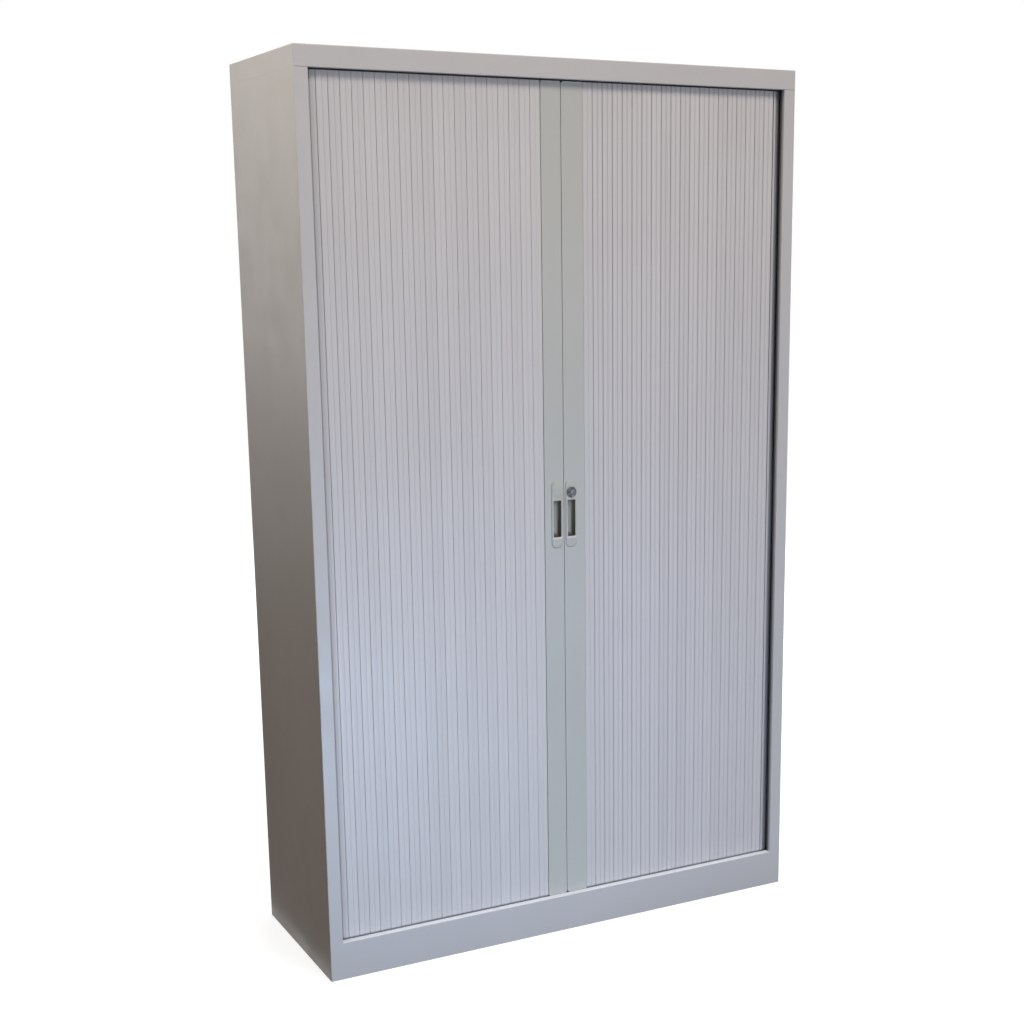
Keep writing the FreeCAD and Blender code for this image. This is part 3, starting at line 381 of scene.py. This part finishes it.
def new_piece(name, mesh, material, body, replaced=(), sharp=40):
    """Object of a mesh with its faces turned outwards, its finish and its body."""
    shape = bmesh.new()
    shape.from_mesh(mesh)
    bmesh.ops.remove_doubles(shape, verts=shape.verts, dist=1e-7)
    bmesh.ops.recalc_face_normals(shape, faces=shape.faces)
    shape.to_mesh(mesh)
    shape.free()
    mesh.shade_smooth()
    mesh.set_sharp_from_angle(angle=radians(sharp))
    mesh.materials.append(material)
    piece = bpy.data.objects.new(name, mesh)
    bpy.context.scene.collection.objects.link(piece)
    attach(piece, body)
    if replaced:
        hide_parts(*replaced)
    return piece


weld_coat = coated_steel("weld_coat", *carcass_colours, folds=False)
weld_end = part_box("front_plinth")[1]
weld_steps = [-4.0, -2.5, -1.2, 0.0, 1.2, 2.5, 4.0, 6.0]
weld_front = [(step, -0.00001 - 0.00004 * (1 - (step - 1) ** 2 / 25)) for step in weld_steps]
weld_line = [(weld_end.x + step / 1000, -0.215 + lift) for step, lift in weld_front]
weld_line += [(weld_end.x + 0.0008, -0.2142), (weld_end.x, -0.2136), (weld_end.x - 0.0008, -0.2142)]
weld_levels = (0.0004, weld_end.z - 0.0022)
weld_rings = np.array(
    [[[(sign * x, y, z) for x, y in weld_line] for z in weld_levels] for sign in (-1, 1)]
)
weld_skin = closed_skin("plinth_welds", weld_rings)
new_piece("plinth_welds", weld_skin, weld_coat, "carcass")


# Inner sheets: head panel, base pan, deck, linings, inner back and the four shelves, the
# same steel with a plainer coat; the shelves carry the rubs of boxes slid in and out.
inner_coat = coated_steel(
    "inner_coat", (0.53, 0.52, 0.50, 1), (0.63, 0.62, 0.6, 1), peel=0.16, scuffs=0.4, gloss=0.46
)
finish_solids(
    inner_coat,
    "head_panel",
    "base_pan",
    "floor_deck",
    "left_lining",
    "right_lining",
    "inner_back_panel",
)


def shelf_coat():
    """The inner coat's colour with long fine rubs along the depth of each shelf."""
    material, shader, place = new_finish("shelf_coat")
    cloud = ramp(material, grain(material, place, 3.0, 3.0), 0.3, 0.7)
    coat = blend_colour(material, cloud, (0.50, 0.49, 0.47, 1), (0.54, 0.53, 0.51, 1))
    rubs = grain(material, stretched(material, place, (420.0, 9.0, 30.0)), 1.0, 3.0, 0.6)
    rare = ramp(material, grain(material, place, 5.0, 1.0), 0.48, 0.6)
    rubs_and_painted_shade = sums(material, "MULTIPLY", ramp(material, rubs, 0.62, 0.7), rare)
    rubs_and_painted_shade = sums(material, "MULTIPLY", rubs_and_painted_shade, 0.35)
    coat = blend_colour(material, rubs_and_painted_shade, coat, (0.36, 0.35, 0.34, 1))
    feed(material, coat, shader, "Base Color")
    feed(material, ramp(material, cloud, 0.0, 1.0, 0.42, 0.5), shader, "Roughness")
    rounded = fold_wear(material, 0.001)[1]
    sheet = height_bump(material, grain(material, place, 4.0, 1.0), 0.2, 0.003, rounded)
    peel_height = grain(material, place, 620.0, 2.0)
    feed(material, height_bump(material, peel_height, 0.18, 0.0003, sheet), shader, "Normal")
    return material


finish_solids(shelf_coat(), "shelf_1", "shelf_2", "shelf_3", "shelf_4")


# Back rivets: twelve aluminium blind rivets through the back sheet and the rear flanges.
# Each has a low domed head with a small dimple where its pin broke off.
def turned(profile, centres, axis, steps=32):
    """A profile of radius and height turned about an upright or lying axis through each centre."""
    angle = np.linspace(0, 2 * pi, steps, endpoint=False)
    radius, height = np.array(profile).T
    across = radius[:, None] * np.cos(angle)
    up = radius[:, None] * np.sin(angle)
    along = np.repeat(height[:, None], steps, 1)
    order = {"x": (along, across, up), "y": (across, along, up), "z": (across, up, along)}[axis]
    return np.stack(order, -1)[None] + np.array(centres)[:, None, None]


def plated_steel(name, colour, grain_scale, roughness, dull_share=0.4):
    """Plated metal: crystal patches of slightly different gloss, fine scratches, dull spots."""
    material, shader, place = new_finish(name)
    patches = node_of(material, "ShaderNodeTexVoronoi")
    feed(material, place, patches, "Vector")
    patches.inputs["Scale"].default_value = grain_scale
    tone = ramp(material, patches.outputs["Distance"], 0.0, 0.7)
    dull = ramp(material, grain(material, place, 160.0, 3.0), 0.45, 0.65)
    light = tuple(min(1.0, 1.1 * c) for c in colour[:3]) + (1,)
    base = blend_colour(material, tone, colour, light)
    spots = sums(material, "MULTIPLY", dull, dull_share)
    base = blend_colour(material, spots, base, (0.35, 0.34, 0.32, 1))
    feed(material, base, shader, "Base Color")
    shader.inputs["Metallic"].default_value = 1.0
    rough = ramp(material, dull, 0.0, 1.0, roughness, roughness + 0.14)
    feed(material, rough, shader, "Roughness")
    lines = grain(material, stretched(material, place, (90.0, 90.0, 2600.0)), 1.0, 2.0)
    feed(material, height_bump(material, lines, 0.2, 0.0001), shader, "Normal")
    return material


zinc = plated_steel("zinc_plate", (0.60, 0.60, 0.58, 1), 420.0, 0.34)
rivet_low, rivet_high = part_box("back_rivets")
back_face = rivet_high.y
rivet_x = rivet_high.x - 0.003
rivet_levels = np.linspace(rivet_low.z + 0.003, rivet_high.z - 0.003, 6)
rivet_centres = [(side * rivet_x, back_face, z) for side in (-1, 1) for z in rivet_levels]
rivet_profile = [
    (0.0002, -0.0019),
    (0.0029, -0.0019),
    (0.0029, 0.0),
    (0.0042, 0.0),
    (0.0043, 0.0003),
    (0.0036, 0.0008),
    (0.0022, 0.0012),
    (0.0012, 0.0013),
    (0.0010, 0.0007),
    (0.0002, 0.0006),
]
rivets = closed_skin("rivet_heads", turned(rivet_profile, rivet_centres, "y", 24))
new_piece("rivet_heads", rivets, zinc, "carcass", ["back_rivets"])


# Deck plugs: four grey moulded caps pressed into the holes over the foot adjusters, each
# with a shallow dome, a rolled rim and a nick for a screwdriver.
def carried(material, name):
    """The value that a piece carries on its points under a name."""
    return node_of(material, "ShaderNodeAttribute", attribute_name=name).outputs["Fac"]


def moulded_plastic(name, colour, gloss, speck=0.04, patch_scale=40.0, shade_colour=None, highlight=None):
    """Injection moulded plastic: fine sparked texture, faint cloud, slight handling shine.
    Where given, a painted shade colour and a painted highlight colour are its colours where the
    piece's shade or highlight value is 1."""
    material, shader, place = new_finish(name)
    cloud = ramp(material, grain(material, place, patch_scale, 3.0), 0.3, 0.7)
    dark = tuple((1 - 2 * speck) * c for c in colour[:3]) + (1,)
    base = blend_colour(material, cloud, dark, colour)
    if shade_colour:
        dirt_and_shade = carried(material, "dirt_and_shade")
        wear_and_highlight = carried(material, "wear_and_highlight")
        base = blend_colour(material, wear_and_highlight, blend_colour(material, dirt_and_shade, base, shade_colour), highlight)
    feed(material, base, shader, "Base Color")
    haze = grain(material, place, 90.0, 2.0)
    shine = ramp(material, haze, 0.35, 0.65, gloss - 0.06, gloss + 0.08)
    feed(material, shine, shader, "Roughness")
    spark = grain(material, place, 1500.0, 2.0)
    feed(material, height_bump(material, spark, 0.3, 0.0002), shader, "Normal")
    return material


plug_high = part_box("deck_plugs")[1]
plug_x, plug_y = plug_high.x - 0.012, plug_high.y - 0.012
deck = plug_high.z - 0.0015
plug_centres = [(sx * plug_x, sy * plug_y, deck) for sx in (-1, 1) for sy in (-1, 1)]
plug_profile = [
    (0.0002, -0.004),
    (0.0094, -0.004),
    (0.0097, -0.0036),
    (0.0097, 0.0),
    (0.0118, 0.0),
    (0.012, 0.0003),
    (0.0118, 0.0008),
    (0.0105, 0.0012),
    (0.0085, 0.0014),
    (0.0045, 0.0016),
    (0.0022, 0.0016),
    (0.0018, 0.0012),
    (0.0002, 0.0012),
]
plugs = closed_skin("plug_caps", turned(plug_profile, plug_centres, "z", 40))
plug_plastic = moulded_plastic("plug_plastic", (0.33, 0.33, 0.33, 1), 0.5)
new_piece("plug_caps", plugs, plug_plastic, "carcass", ["deck_plugs"])


# Shelf clips: sixteen bent strips of zinc plated steel hooked into the slots of the
# linings. The base pan's weld nuts have the same plate.
finish_solids(zinc, "shelf_clips", "foot_nuts")


# Tracks: black extruded plastic channels, bent round both corners, one pair above and one
# below. Drawing marks run along them.
def track_plastic():
    """Black with streaks along the channel and a soft gloss."""
    material, shader, place = new_finish("track_plastic")
    streak = grain(material, stretched(material, place, (12.0, 12.0, 1400.0)), 1.0, 3.0)
    shade = ramp(material, streak, 0.35, 0.65)
    base = blend_colour(material, shade, (0.012, 0.009, 0.007, 1), (0.026, 0.021, 0.017, 1))
    feed(material, base, shader, "Base Color")
    shader.inputs["Specular IOR Level"].default_value = 0.25
    feed(material, ramp(material, streak, 0.3, 0.7, 0.6, 0.72), shader, "Roughness")
    feed(material, height_bump(material, streak, 0.25, 0.0002), shader, "Normal")
    return material


finish_solids(
    track_plastic(), "top_track_left", "top_track_right", "bottom_track_left", "bottom_track_right"
)


# Curtains: twenty-four hollow plastic slats on each side, extruded light grey with a fine
# groove down the middle of the face. A hooked edge holds each slat in the next, and the
# open joint between them shows as a thin dark line.
slat_pitch = 0.025
slat_low, slat_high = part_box("right_slat_01")
slat_ends = (slat_low.z, slat_high.z)
curtain_plane = (slat_low.y + slat_high.y) / 2
bend_radius = 0.036
bend_start = 0.55
stile_edges = {"left": 0.0485, "right": 0.053}
# Strength and starting depth of the darkening in the joints of each curtain: dust and painted
# shade.
joint_dust_and_shade = {"left": (0.45, 0.0036), "right": (1.0, 0.00385)}
joint_side = [(12.4, -2.7, 0.2), (11.5, -3.55, 0.6), (9.6, -3.78, 3)]
half_face = joint_side + [(6.3, -3.98, 12), (2.6, -3.8, 3), (0.75, -3.6, 0.5), (0, -3.05, 0.25)]
slat_face = [(-x, deep, r) for x, deep, r in half_face] + half_face[-2::-1]
stile_side = [(-12.3, -2.3, 0.2), (-11.1, -3.45, 0.6)]
hook_and_back = [
    (12.4, -1.7, 0.2),
    (13.5, -1.7, 0.4),
    (13.5, 0.1, 0.4),
    (12.3, 0.1, 0.2),
    (12.3, 2.4, 0.3),
    (10.7, 3.75, 0.6),
    (-10.7, 3.75, 0.6),
    (-12.3, 2.4, 0.3),
]
socket = [(-12.3, 0.7, 0.2), (-11.1, 0.7, 0.2), (-11.1, -2.2, 0.2), (-12.4, -2.2, 0.1)]
hooked_outline = slat_face + hook_and_back + socket
first_outline = stile_side + slat_face[2:] + hook_and_back
plain_outline = slat_face + [
    (12.2, -1.2, 0.3),
    (10.5, 3.75, 0.6),
    (-10.5, 3.75, 0.6),
    (-12.2, -1.2, 0.3),
]


def rounded_outline(corners, steps=4):
    """Outline through corners given as across, deep and radius, in millimetres: each corner
    becomes an arc that touches both its sides, drawn with steps + 1 points."""
    spots = np.array(corners, float)[:, :2]
    radii = np.array(corners, float)[:, 2]
    back = np.roll(spots, 1, 0) - spots
    forth = np.roll(spots, -1, 0) - spots
    back_length = np.linalg.norm(back, axis=1, keepdims=True)
    forth_length = np.linalg.norm(forth, axis=1, keepdims=True)
    back, forth = back / back_length, forth / forth_length
    half = np.arccos(np.clip((back * forth).sum(1), -1, 1)) / 2
    reach = radii / np.tan(half)
    reach = np.minimum(reach, 0.49 * np.minimum(back_length, forth_length)[:, 0])
    share = np.linspace(0, 1, steps + 1)[None, :, None]
    leave = spots + back * reach[:, None]
    arrive = spots + forth * reach[:, None]
    curve = (
        (1 - share) ** 2 * leave[:, None]
        + 2 * share * (1 - share) * spots[:, None]
        + share**2 * arrive[:, None]
    )
    return curve.reshape(-1, 2) / 1000


def slat_places(edge, numbers):
    """Middle and turn of each slat, counted from the stile: straight on, then round the bend,
    where the distance past its start divided by its radius gives the turn, then straight back."""
    along = edge + (np.array(numbers) - 0.5) * slat_pitch - bend_start
    turn = np.clip(along / bend_radius, 0, pi / 2)
    inside_bend = (along > 0) & (along < bend_radius * pi / 2)
    reach = bend_radius - np.where(inside_bend, slat_pitch**2 / (16 * bend_radius), 0)
    past = np.clip(along - bend_radius * pi / 2, 0, None)
    x = bend_start + np.where(along < 0, along, reach * np.sin(turn))
    y = np.where(along < 0, 0, bend_radius - reach * np.cos(turn)) + curtain_plane + past
    return x, y, turn


def write_values(mesh, name, values):
    """Put one value on each point of a mesh under a name."""
    layer = mesh.attributes.new(name, "FLOAT", "POINT")
    layer.data.foreach_set("value", values.astype(np.float32).ravel())


def slat_mesh(name, side, numbers, corners):
    """Slats of one strip: the outline set at each slat's place and carried from end to end,
    with a tone for each slat and a darkening value: dust and painted shade growing down the joints,
    painted shadow at the foot in the slot behind the ledge, and painted shade on the front beside
    the jamb."""
    sign = -1 if side == "left" else 1
    outline = rounded_outline(corners)
    x, y, turn = slat_places(stile_edges[side], numbers)
    cosine, sine = np.cos(turn)[:, None], np.sin(turn)[:, None]
    across = x[:, None] + outline[:, 0] * cosine - outline[:, 1] * sine
    deep = y[:, None] + outline[:, 0] * sine + outline[:, 1] * cosine
    z = slat_ends[0] + np.array([0, 0.0008, 0.0172, 0.0198, 0.03])
    z = np.append(z, [slat_ends[1] - 0.0008, slat_ends[1]])
    shape = (len(numbers), len(z), len(outline))
    rings = np.empty(shape + (3,))
    rings[..., 0] = sign * across[:, None]
    rings[..., 1] = deep[:, None]
    rings[..., 2] = z[:, None]
    mesh = closed_skin(name, rings)
    tone = np.random.default_rng(sum(numbers) + 5 * sign + 5).uniform(-1, 1, len(numbers))
    soil_and_shade, darkening_start = joint_dust_and_shade[side]
    soil_and_shade *= 0.4 if numbers[0] == 1 else 1
    # Dust and painted shade down the joints, growing stronger towards the top.
    groove_dust_and_shade = soil_and_shade * np.clip((outline[:, 1] + darkening_start) / 0.0014, 0, 1)
    # Painted shade on the front of the slats beside the jamb.
    rubs_and_painted_shade = 0.9 * np.clip((across - 0.5595) / 0.003, 0, 1) * (deep < curtain_plane + 0.01)
    dirt_and_shade = np.maximum(groove_dust_and_shade * (0.55 + 0.45 * z[:, None] / z[-1]), rubs_and_painted_shade[:, None])
    # Painted shadow at the foot of each slat, in the slot behind the ledge.
    dirt_and_shade = np.maximum(dirt_and_shade, np.array([0.9, 0.9, 0.9, 0, 0, 0, 0])[:, None])
    write_values(mesh, "tone", np.broadcast_to(tone[:, None, None], shape))
    write_values(mesh, "dirt_and_shade", np.broadcast_to(dirt_and_shade, shape))
    return mesh


def slat_plastic():
    """Light warm grey with a slight tone per slat, streaks along the draw, dust and painted shade
    in the joints, painted shadow at the foot and painted shade by the jamb.
    """
    material, shader, place = new_finish("slat_plastic")
    tone = carried(material, "tone")
    dirt_and_shade = carried(material, "dirt_and_shade")
    streak = grain(material, stretched(material, place, (900.0, 900.0, 5.0)), 1.0, 3.0)
    cloud = grain(material, place, 4.0, 3.0)
    shade = sums(material, "MULTIPLY_ADD", tone, 0.3, 0.5)
    shade = sums(material, "ADD", shade, ramp(material, streak, 0.3, 0.7, -0.2, 0.2))
    shade = sums(material, "ADD", shade, ramp(material, cloud, 0.3, 0.7, -0.2, 0.2))
    base = blend_colour(material, shade, (0.535, 0.499, 0.476, 1), (0.583, 0.544, 0.520, 1))
    # Dust and painted shade: the darkening value carried by the slats mixes in a dark blue grey.
    soil_and_shade = sums(material, "MULTIPLY", dirt_and_shade, 0.8)
    base = blend_colour(material, soil_and_shade, base, (0.135, 0.135, 0.148, 1))
    feed(material, base, shader, "Base Color")
    feed(material, ramp(material, streak, 0.3, 0.7, 0.36, 0.48), shader, "Roughness")
    feed(material, height_bump(material, streak, 0.12, 0.0001), shader, "Normal")
    return material


slat_finish = slat_plastic()
strips = [
    ("02_05", 2, 5),
    ("06_09", 6, 9),
    ("10_13", 10, 13),
    ("14_17", 14, 17),
    ("18_20", 18, 20),
]
for side, sign in (("left", -1), ("right", 1)):
    mesh = slat_mesh(f"{side}_slat_face_01", side, [1], first_outline)
    new_piece(mesh.name, mesh, slat_finish, f"{side}_leading", [f"{side}_slat_01"])
    for label, first, last in strips:
        numbers = list(range(first, last + 1))
        mesh = slat_mesh(f"{side}_slat_faces_{label}", side, numbers, hooked_outline)
        body = f"{side}_curtain_{label}"
        replaced = [f"{side}_slats_{label}"]
        piece = new_piece(mesh.name, mesh, slat_finish, body, replaced)
        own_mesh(piece)
    mesh = slat_mesh(f"{side}_slat_faces_21_24", side, list(range(21, 25)), plain_outline)
    body = f"{side}_curtain_21_24"
    replaced = [f"{side}_slats_21_24"]
    piece = new_piece(mesh.name, mesh, slat_finish, body, replaced)
    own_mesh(piece)


# Leading stiles: two folded steel strips with a smooth grey coat, slightly greener than
# the carcass. The right one laps over the left, and plastic glides plug their ends.
stile_coat = coated_steel(
    "stile_coat", (0.466, 0.454, 0.407, 1), (0.56, 0.555, 0.53, 1), peel=0.1, scuffs=0.3, gloss=0.38
)
finish_solids(stile_coat, "left_stile", "right_stile")
glide_plastic = moulded_plastic("glide_plastic", (0.66, 0.65, 0.61, 1), 0.35)
finish_solids(glide_plastic, "left_stile_glides", "right_stile_glides")


# Pulls: two cream grey mouldings with rounded ends, let into the stiles. Each has a deep
# finger recess with a soft raised rim; the left one has a raised blank pad where the right
# one has its lock.
def ring_at(middle, deep, corners, steps=6):
    """One rounded outline, upright, at a depth: corners as across, up and radius in
    millimetres from its middle."""
    outline = rounded_outline(corners, steps)
    deep_row = np.full(len(outline), deep / 1000)
    return np.stack([middle[0] + outline[:, 0], deep_row, middle[1] + outline[:, 1]], -1)


def upright_box(half_width, half_height, radius):
    """Corners of an upright rectangle with one radius."""
    return [
        (-half_width, -half_height, radius),
        (half_width, -half_height, radius),
        (half_width, half_height, radius),
        (-half_width, half_height, radius),
    ]


pull_middle = (0.018, 0.9975)
recess_middle = (0.018, 0.9865)
pull_steps = [
    (recess_middle, -182.2, upright_box(10.2, 42.2, 2)),
    (recess_middle, -183.0, upright_box(11.0, 43.0, 3)),
    (recess_middle, -196.15, upright_box(11.0, 43.0, 3)),
    (pull_middle, -196.15, upright_box(13.8, 77.3, 13.3)),
    (pull_middle, -196.3, upright_box(14.0, 77.5, 13.5)),
    (pull_middle, -197.1, upright_box(14.0, 77.5, 13.5)),
    (pull_middle, -197.8, upright_box(13.8, 77.0, 13.3)),
    (pull_middle, -198.3, upright_box(13.4, 75.6, 12.9)),
    (pull_middle, -198.65, upright_box(12.8, 73.4, 12.2)),
    (pull_middle, -198.8, upright_box(12.2, 70.6, 11.4)),
    (recess_middle, -198.83, upright_box(11.9, 46.4, 4.8)),
    (recess_middle, -198.85, upright_box(11.7, 45.6, 4.5)),
    (recess_middle, -199.15, upright_box(11.2, 44.6, 4.0)),
    (recess_middle, -199.25, upright_box(10.7, 43.6, 3.6)),
    (recess_middle, -199.1, upright_box(10.2, 42.7, 3.2)),
    (recess_middle, -198.6, upright_box(9.8, 42.0, 2.8)),
    (recess_middle, -197.6, upright_box(9.55, 41.6, 2.5)),
    (recess_middle, -194.0, upright_box(9.35, 41.3, 2.5)),
    (recess_middle, -190.0, upright_box(8.7, 40.4, 2.6)),
    (recess_middle, -187.0, upright_box(7.4, 38.8, 2.8)),
    (recess_middle, -185.2, upright_box(5.4, 36.4, 2.6)),
    (recess_middle, -184.3, upright_box(3.0, 33.6, 1.8)),
    (recess_middle, -184.0, upright_box(1.2, 31.4, 0.8)),
]
# Painted shade in the finger recess, ring by ring: darkest on the walls, lighter on the floor.
recess_shade = np.array([0] * 15 + [0.25, 0.6, 0.78, 0.75, 0.62, 0.52, 0.46, 0.46])
# Painted highlight on the lower lip of the recess, ring by ring.
lip_highlight = np.array([0] * 11 + [0.5, 1, 1, 1, 0.8, 0.3] + [0] * 6)
pull_plastic = moulded_plastic(
    "pull_plastic",
    (0.457, 0.440, 0.383, 1),
    0.42,
    shade_colour=(0.06, 0.052, 0.035, 1),
    highlight=(0.62, 0.61, 0.57, 1),
)
for side, sign in (("left", -1), ("right", 1)):
    rings = np.stack([ring_at(middle, deep, corners) for middle, deep, corners in pull_steps])
    mesh = closed_skin(f"{side}_pull_face", rings[None] * (sign, 1, 1))
    below = recess_middle[1] - rings[..., 2]
    lip = np.clip((below - 0.0395) / 0.002, 0, 1)
    # Painted shade on the bottom wall of the recess.
    sunk = 0.95 * np.clip((below - 0.028) / 0.008, 0, 1) * (rings[..., 1] > -0.1965)
    dirt_and_shade = np.maximum(recess_shade[:, None] * (1 - 0.4 * lip), sunk)
    write_values(mesh, "dirt_and_shade", dirt_and_shade)
    write_values(mesh, "wear_and_highlight", lip_highlight[:, None] * lip)
    body = f"{side}_leading"
    new_piece(mesh.name, mesh, pull_plastic, body, [f"{side}_pull"], 50)
pad_middle = (-0.018, 1.0555)
pad_shape = [(-1, -17, 1.2), (1, -17, 1.2), (1, 17, 9.5), (-1, 17, 9.5)]
pad_steps = [(-198.5, 11.6, 0.0), (-199.3, 11.5, 0.1), (-199.65, 11.2, 0.4), (-199.8, 10.6, 1.0)]
pad_rings = np.stack(
    [
        ring_at(pad_middle, deep, [(x * half, z - np.sign(z) * less, r) for x, z, r in pad_shape])
        for deep, half, less in pad_steps
    ]
)
new_piece(
    "left_pull_pad",
    closed_skin("left_pull_pad", pad_rings[None]),
    pull_plastic,
    "left_leading",
    (),
    50,
)


# Lock: nickel plated barrel with a round face, a core with a keyway that turns in it, and
# behind the stile a nut, a hooked cam, its screw and the keeper in the other stile.
# The plating takes a nearly black colour: painted reflection of the dark room around it.
nickel = plated_steel("nickel_plate", (0.085, 0.08, 0.08, 1), 700.0, 0.24, dull_share=0.15)
lock_middle = (0.018, 0.0, 1.046)
barrel_profile = [
    (0.0062, -0.1842),
    (0.0088, -0.1842),
    (0.0090, -0.1846),
    (0.0090, -0.1978),
    (0.0123, -0.1982),
    (0.0124, -0.1988),
    (0.0122, -0.2002),
    (0.0117, -0.2010),
    (0.0109, -0.2014),
    (0.0100, -0.2014),
    (0.0094, -0.2009),
    (0.0090, -0.2001),
    (0.0086, -0.1999),
    (0.0074, -0.1999),
    (0.0070, -0.2003),
    (0.0064, -0.2003),
    (0.00605, -0.1999),
    (0.00605, -0.1844),
]
barrel_rings = turned(barrel_profile + barrel_profile[:1], [lock_middle], "y", 48)


def hollow_skin(name, rings):
    """Mesh of a body of revolution with a bore: its last ring is its first, so no end is closed."""
    mesh = closed_skin(name, rings)
    shape = bmesh.new()
    shape.from_mesh(mesh)
    ends = [face for face in shape.faces if len(face.verts) > 4]
    bmesh.ops.delete(shape, geom=ends, context="FACES_ONLY")
    shape.to_mesh(mesh)
    shape.free()
    return mesh


new_piece(
    "lock_barrel_face",
    hollow_skin("lock_barrel_face", barrel_rings),
    nickel,
    "right_leading",
    ["lock_barrel"],
)
core_angle = np.linspace(0, 2 * pi, 48, endpoint=False)
key_across = 0.0009 * np.cos(core_angle)
key_up = 0.0009 * np.sin(core_angle) + 0.0031 * np.sign(np.round(np.sin(core_angle), 9))


def core_ring(deep, across, up):
    """One ring of the lock's core at a depth."""
    return np.stack([lock_middle[0] + across, np.full(48, deep), lock_middle[2] + up], -1)


core_rings = [
    core_ring(deep, radius * np.cos(core_angle), radius * np.sin(core_angle))
    for deep, radius in ((-0.1842, 0.006), (-0.1997, 0.006), (-0.2001, 0.0057), (-0.2001, 0.0048))
]
core_rings += [core_ring(-0.2001, 1.3 * key_across, 1.05 * key_up)]
core_rings += [core_ring(deep, key_across, key_up) for deep in (-0.1999, -0.1972)]
new_piece(
    "lock_core_face",
    closed_skin("lock_core_face", np.stack(core_rings)[None]),
    nickel,
    "lock_turning",
    ["lock_core"],
)
finish_solids(zinc, "lock_nut", "lock_cam", "cam_screw", "lock_keeper")


# Levelling feet: four black moulded pads with ribbed rims, each under a zinc plated stud
# with a rolled thread, a six sided collar and a screwdriver slot, reached through the deck.
pad_plastic = moulded_plastic("pad_plastic", (0.03, 0.03, 0.032, 1), 0.5)
pad_profile = [
    (0.0002, 0.001),
    (0.0164, 0.001),
    (0.0172, 0.0014),
    (0.0174, 0.0020),
    (0.0174, 0.0042),
    (0.0168, 0.0052),
    (0.0148, 0.0060),
    (0.0112, 0.0068),
    (0.0090, 0.0080),
    (0.0084, 0.0088),
    (0.0078, 0.0090),
    (0.0056, 0.0090),
    (0.0051, 0.0086),
    (0.0051, 0.0042),
    (0.0002, 0.0040),
]
thread_pitch, thread_depth, stud_radius = 0.0015, 0.00055, 0.00495


def ribbed_pad(centre, ribs=24, share=0.035):
    """The pad's profile turned about its stud: radius times 1 - share * (1 + cos(ribs * angle)) / 2
    on the rim alone."""
    angle = np.linspace(0, 2 * pi, 6 * ribs, endpoint=False)
    radius, height = np.array(pad_profile).T
    rim = (radius > 0.0165) * share * (1 + np.cos(ribs * angle)[:, None]) / 2
    reach = (radius * (1 - rim)).T
    up = np.broadcast_to(height[:, None], reach.shape)
    return np.stack([reach * np.cos(angle), reach * np.sin(angle), up], -1)[None] + centre


def threaded_stud(centre, low, high):
    """Stud as rings: a plain end, a six sided collar, a thread whose radius falls by
    depth * |2 * fraction(height / pitch - angle / 2 pi) - 1|, and a slot sunk in the top."""
    angle = np.linspace(0, 2 * pi, 24, endpoint=False)
    collar = 0.008 * np.cos(pi / 6) / np.cos(np.mod(angle, pi / 3) - pi / 6)
    plain = np.full(24, 0.0044)
    rings = [(low, 0.9 * plain), (low + 0.0005, plain), (low + 0.0053, plain)]
    rings += [(low + 0.0053, 0.93 * collar), (low + 0.0058, collar)]
    rings += [(low + 0.0108, collar), (low + 0.0113, 0.93 * collar), (low + 0.0113, plain)]
    for height in np.arange(low + 0.0123, high - 0.0012, thread_pitch / 6):
        turn = np.mod(height / thread_pitch - angle / (2 * pi), 1)
        rings += [(height, stud_radius - thread_depth * np.abs(2 * turn - 1))]
    rings += [(high - 0.0008, plain), (high, 0.9 * plain)]
    slot_x = 0.0005 * np.cos(angle) + 0.0028 * np.sign(np.round(np.cos(angle), 9))
    slot_y = 0.0006 * np.sin(angle)
    circle = np.stack([np.cos(angle), np.sin(angle)], -1)
    flat = [(height, radius[:, None] * circle) for height, radius in rings]
    slot = np.stack([slot_x, slot_y], -1)
    flat += [(high, 1.1 * slot), (high - 0.0012, slot)]
    skin = [np.column_stack([spots, np.full(24, height)]) for height, spots in flat]
    return np.stack(skin)[None] + centre


for place in ("front_left", "front_right", "rear_left", "rear_right"):
    low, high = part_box(f"foot_stud_{place}")
    centre = ((low.x + high.x) / 2, (low.y + high.y) / 2, 0.0)
    pad = closed_skin(f"foot_pad_face_{place}", ribbed_pad(centre))
    new_piece(pad.name, pad, pad_plastic, f"foot_{place}", [f"foot_pad_{place}"])
    stud = closed_skin(f"foot_stud_thread_{place}", threaded_stud(centre, low.z, high.z))
    new_piece(stud.name, stud, zinc, f"stud_{place}", [f"foot_stud_{place}"])
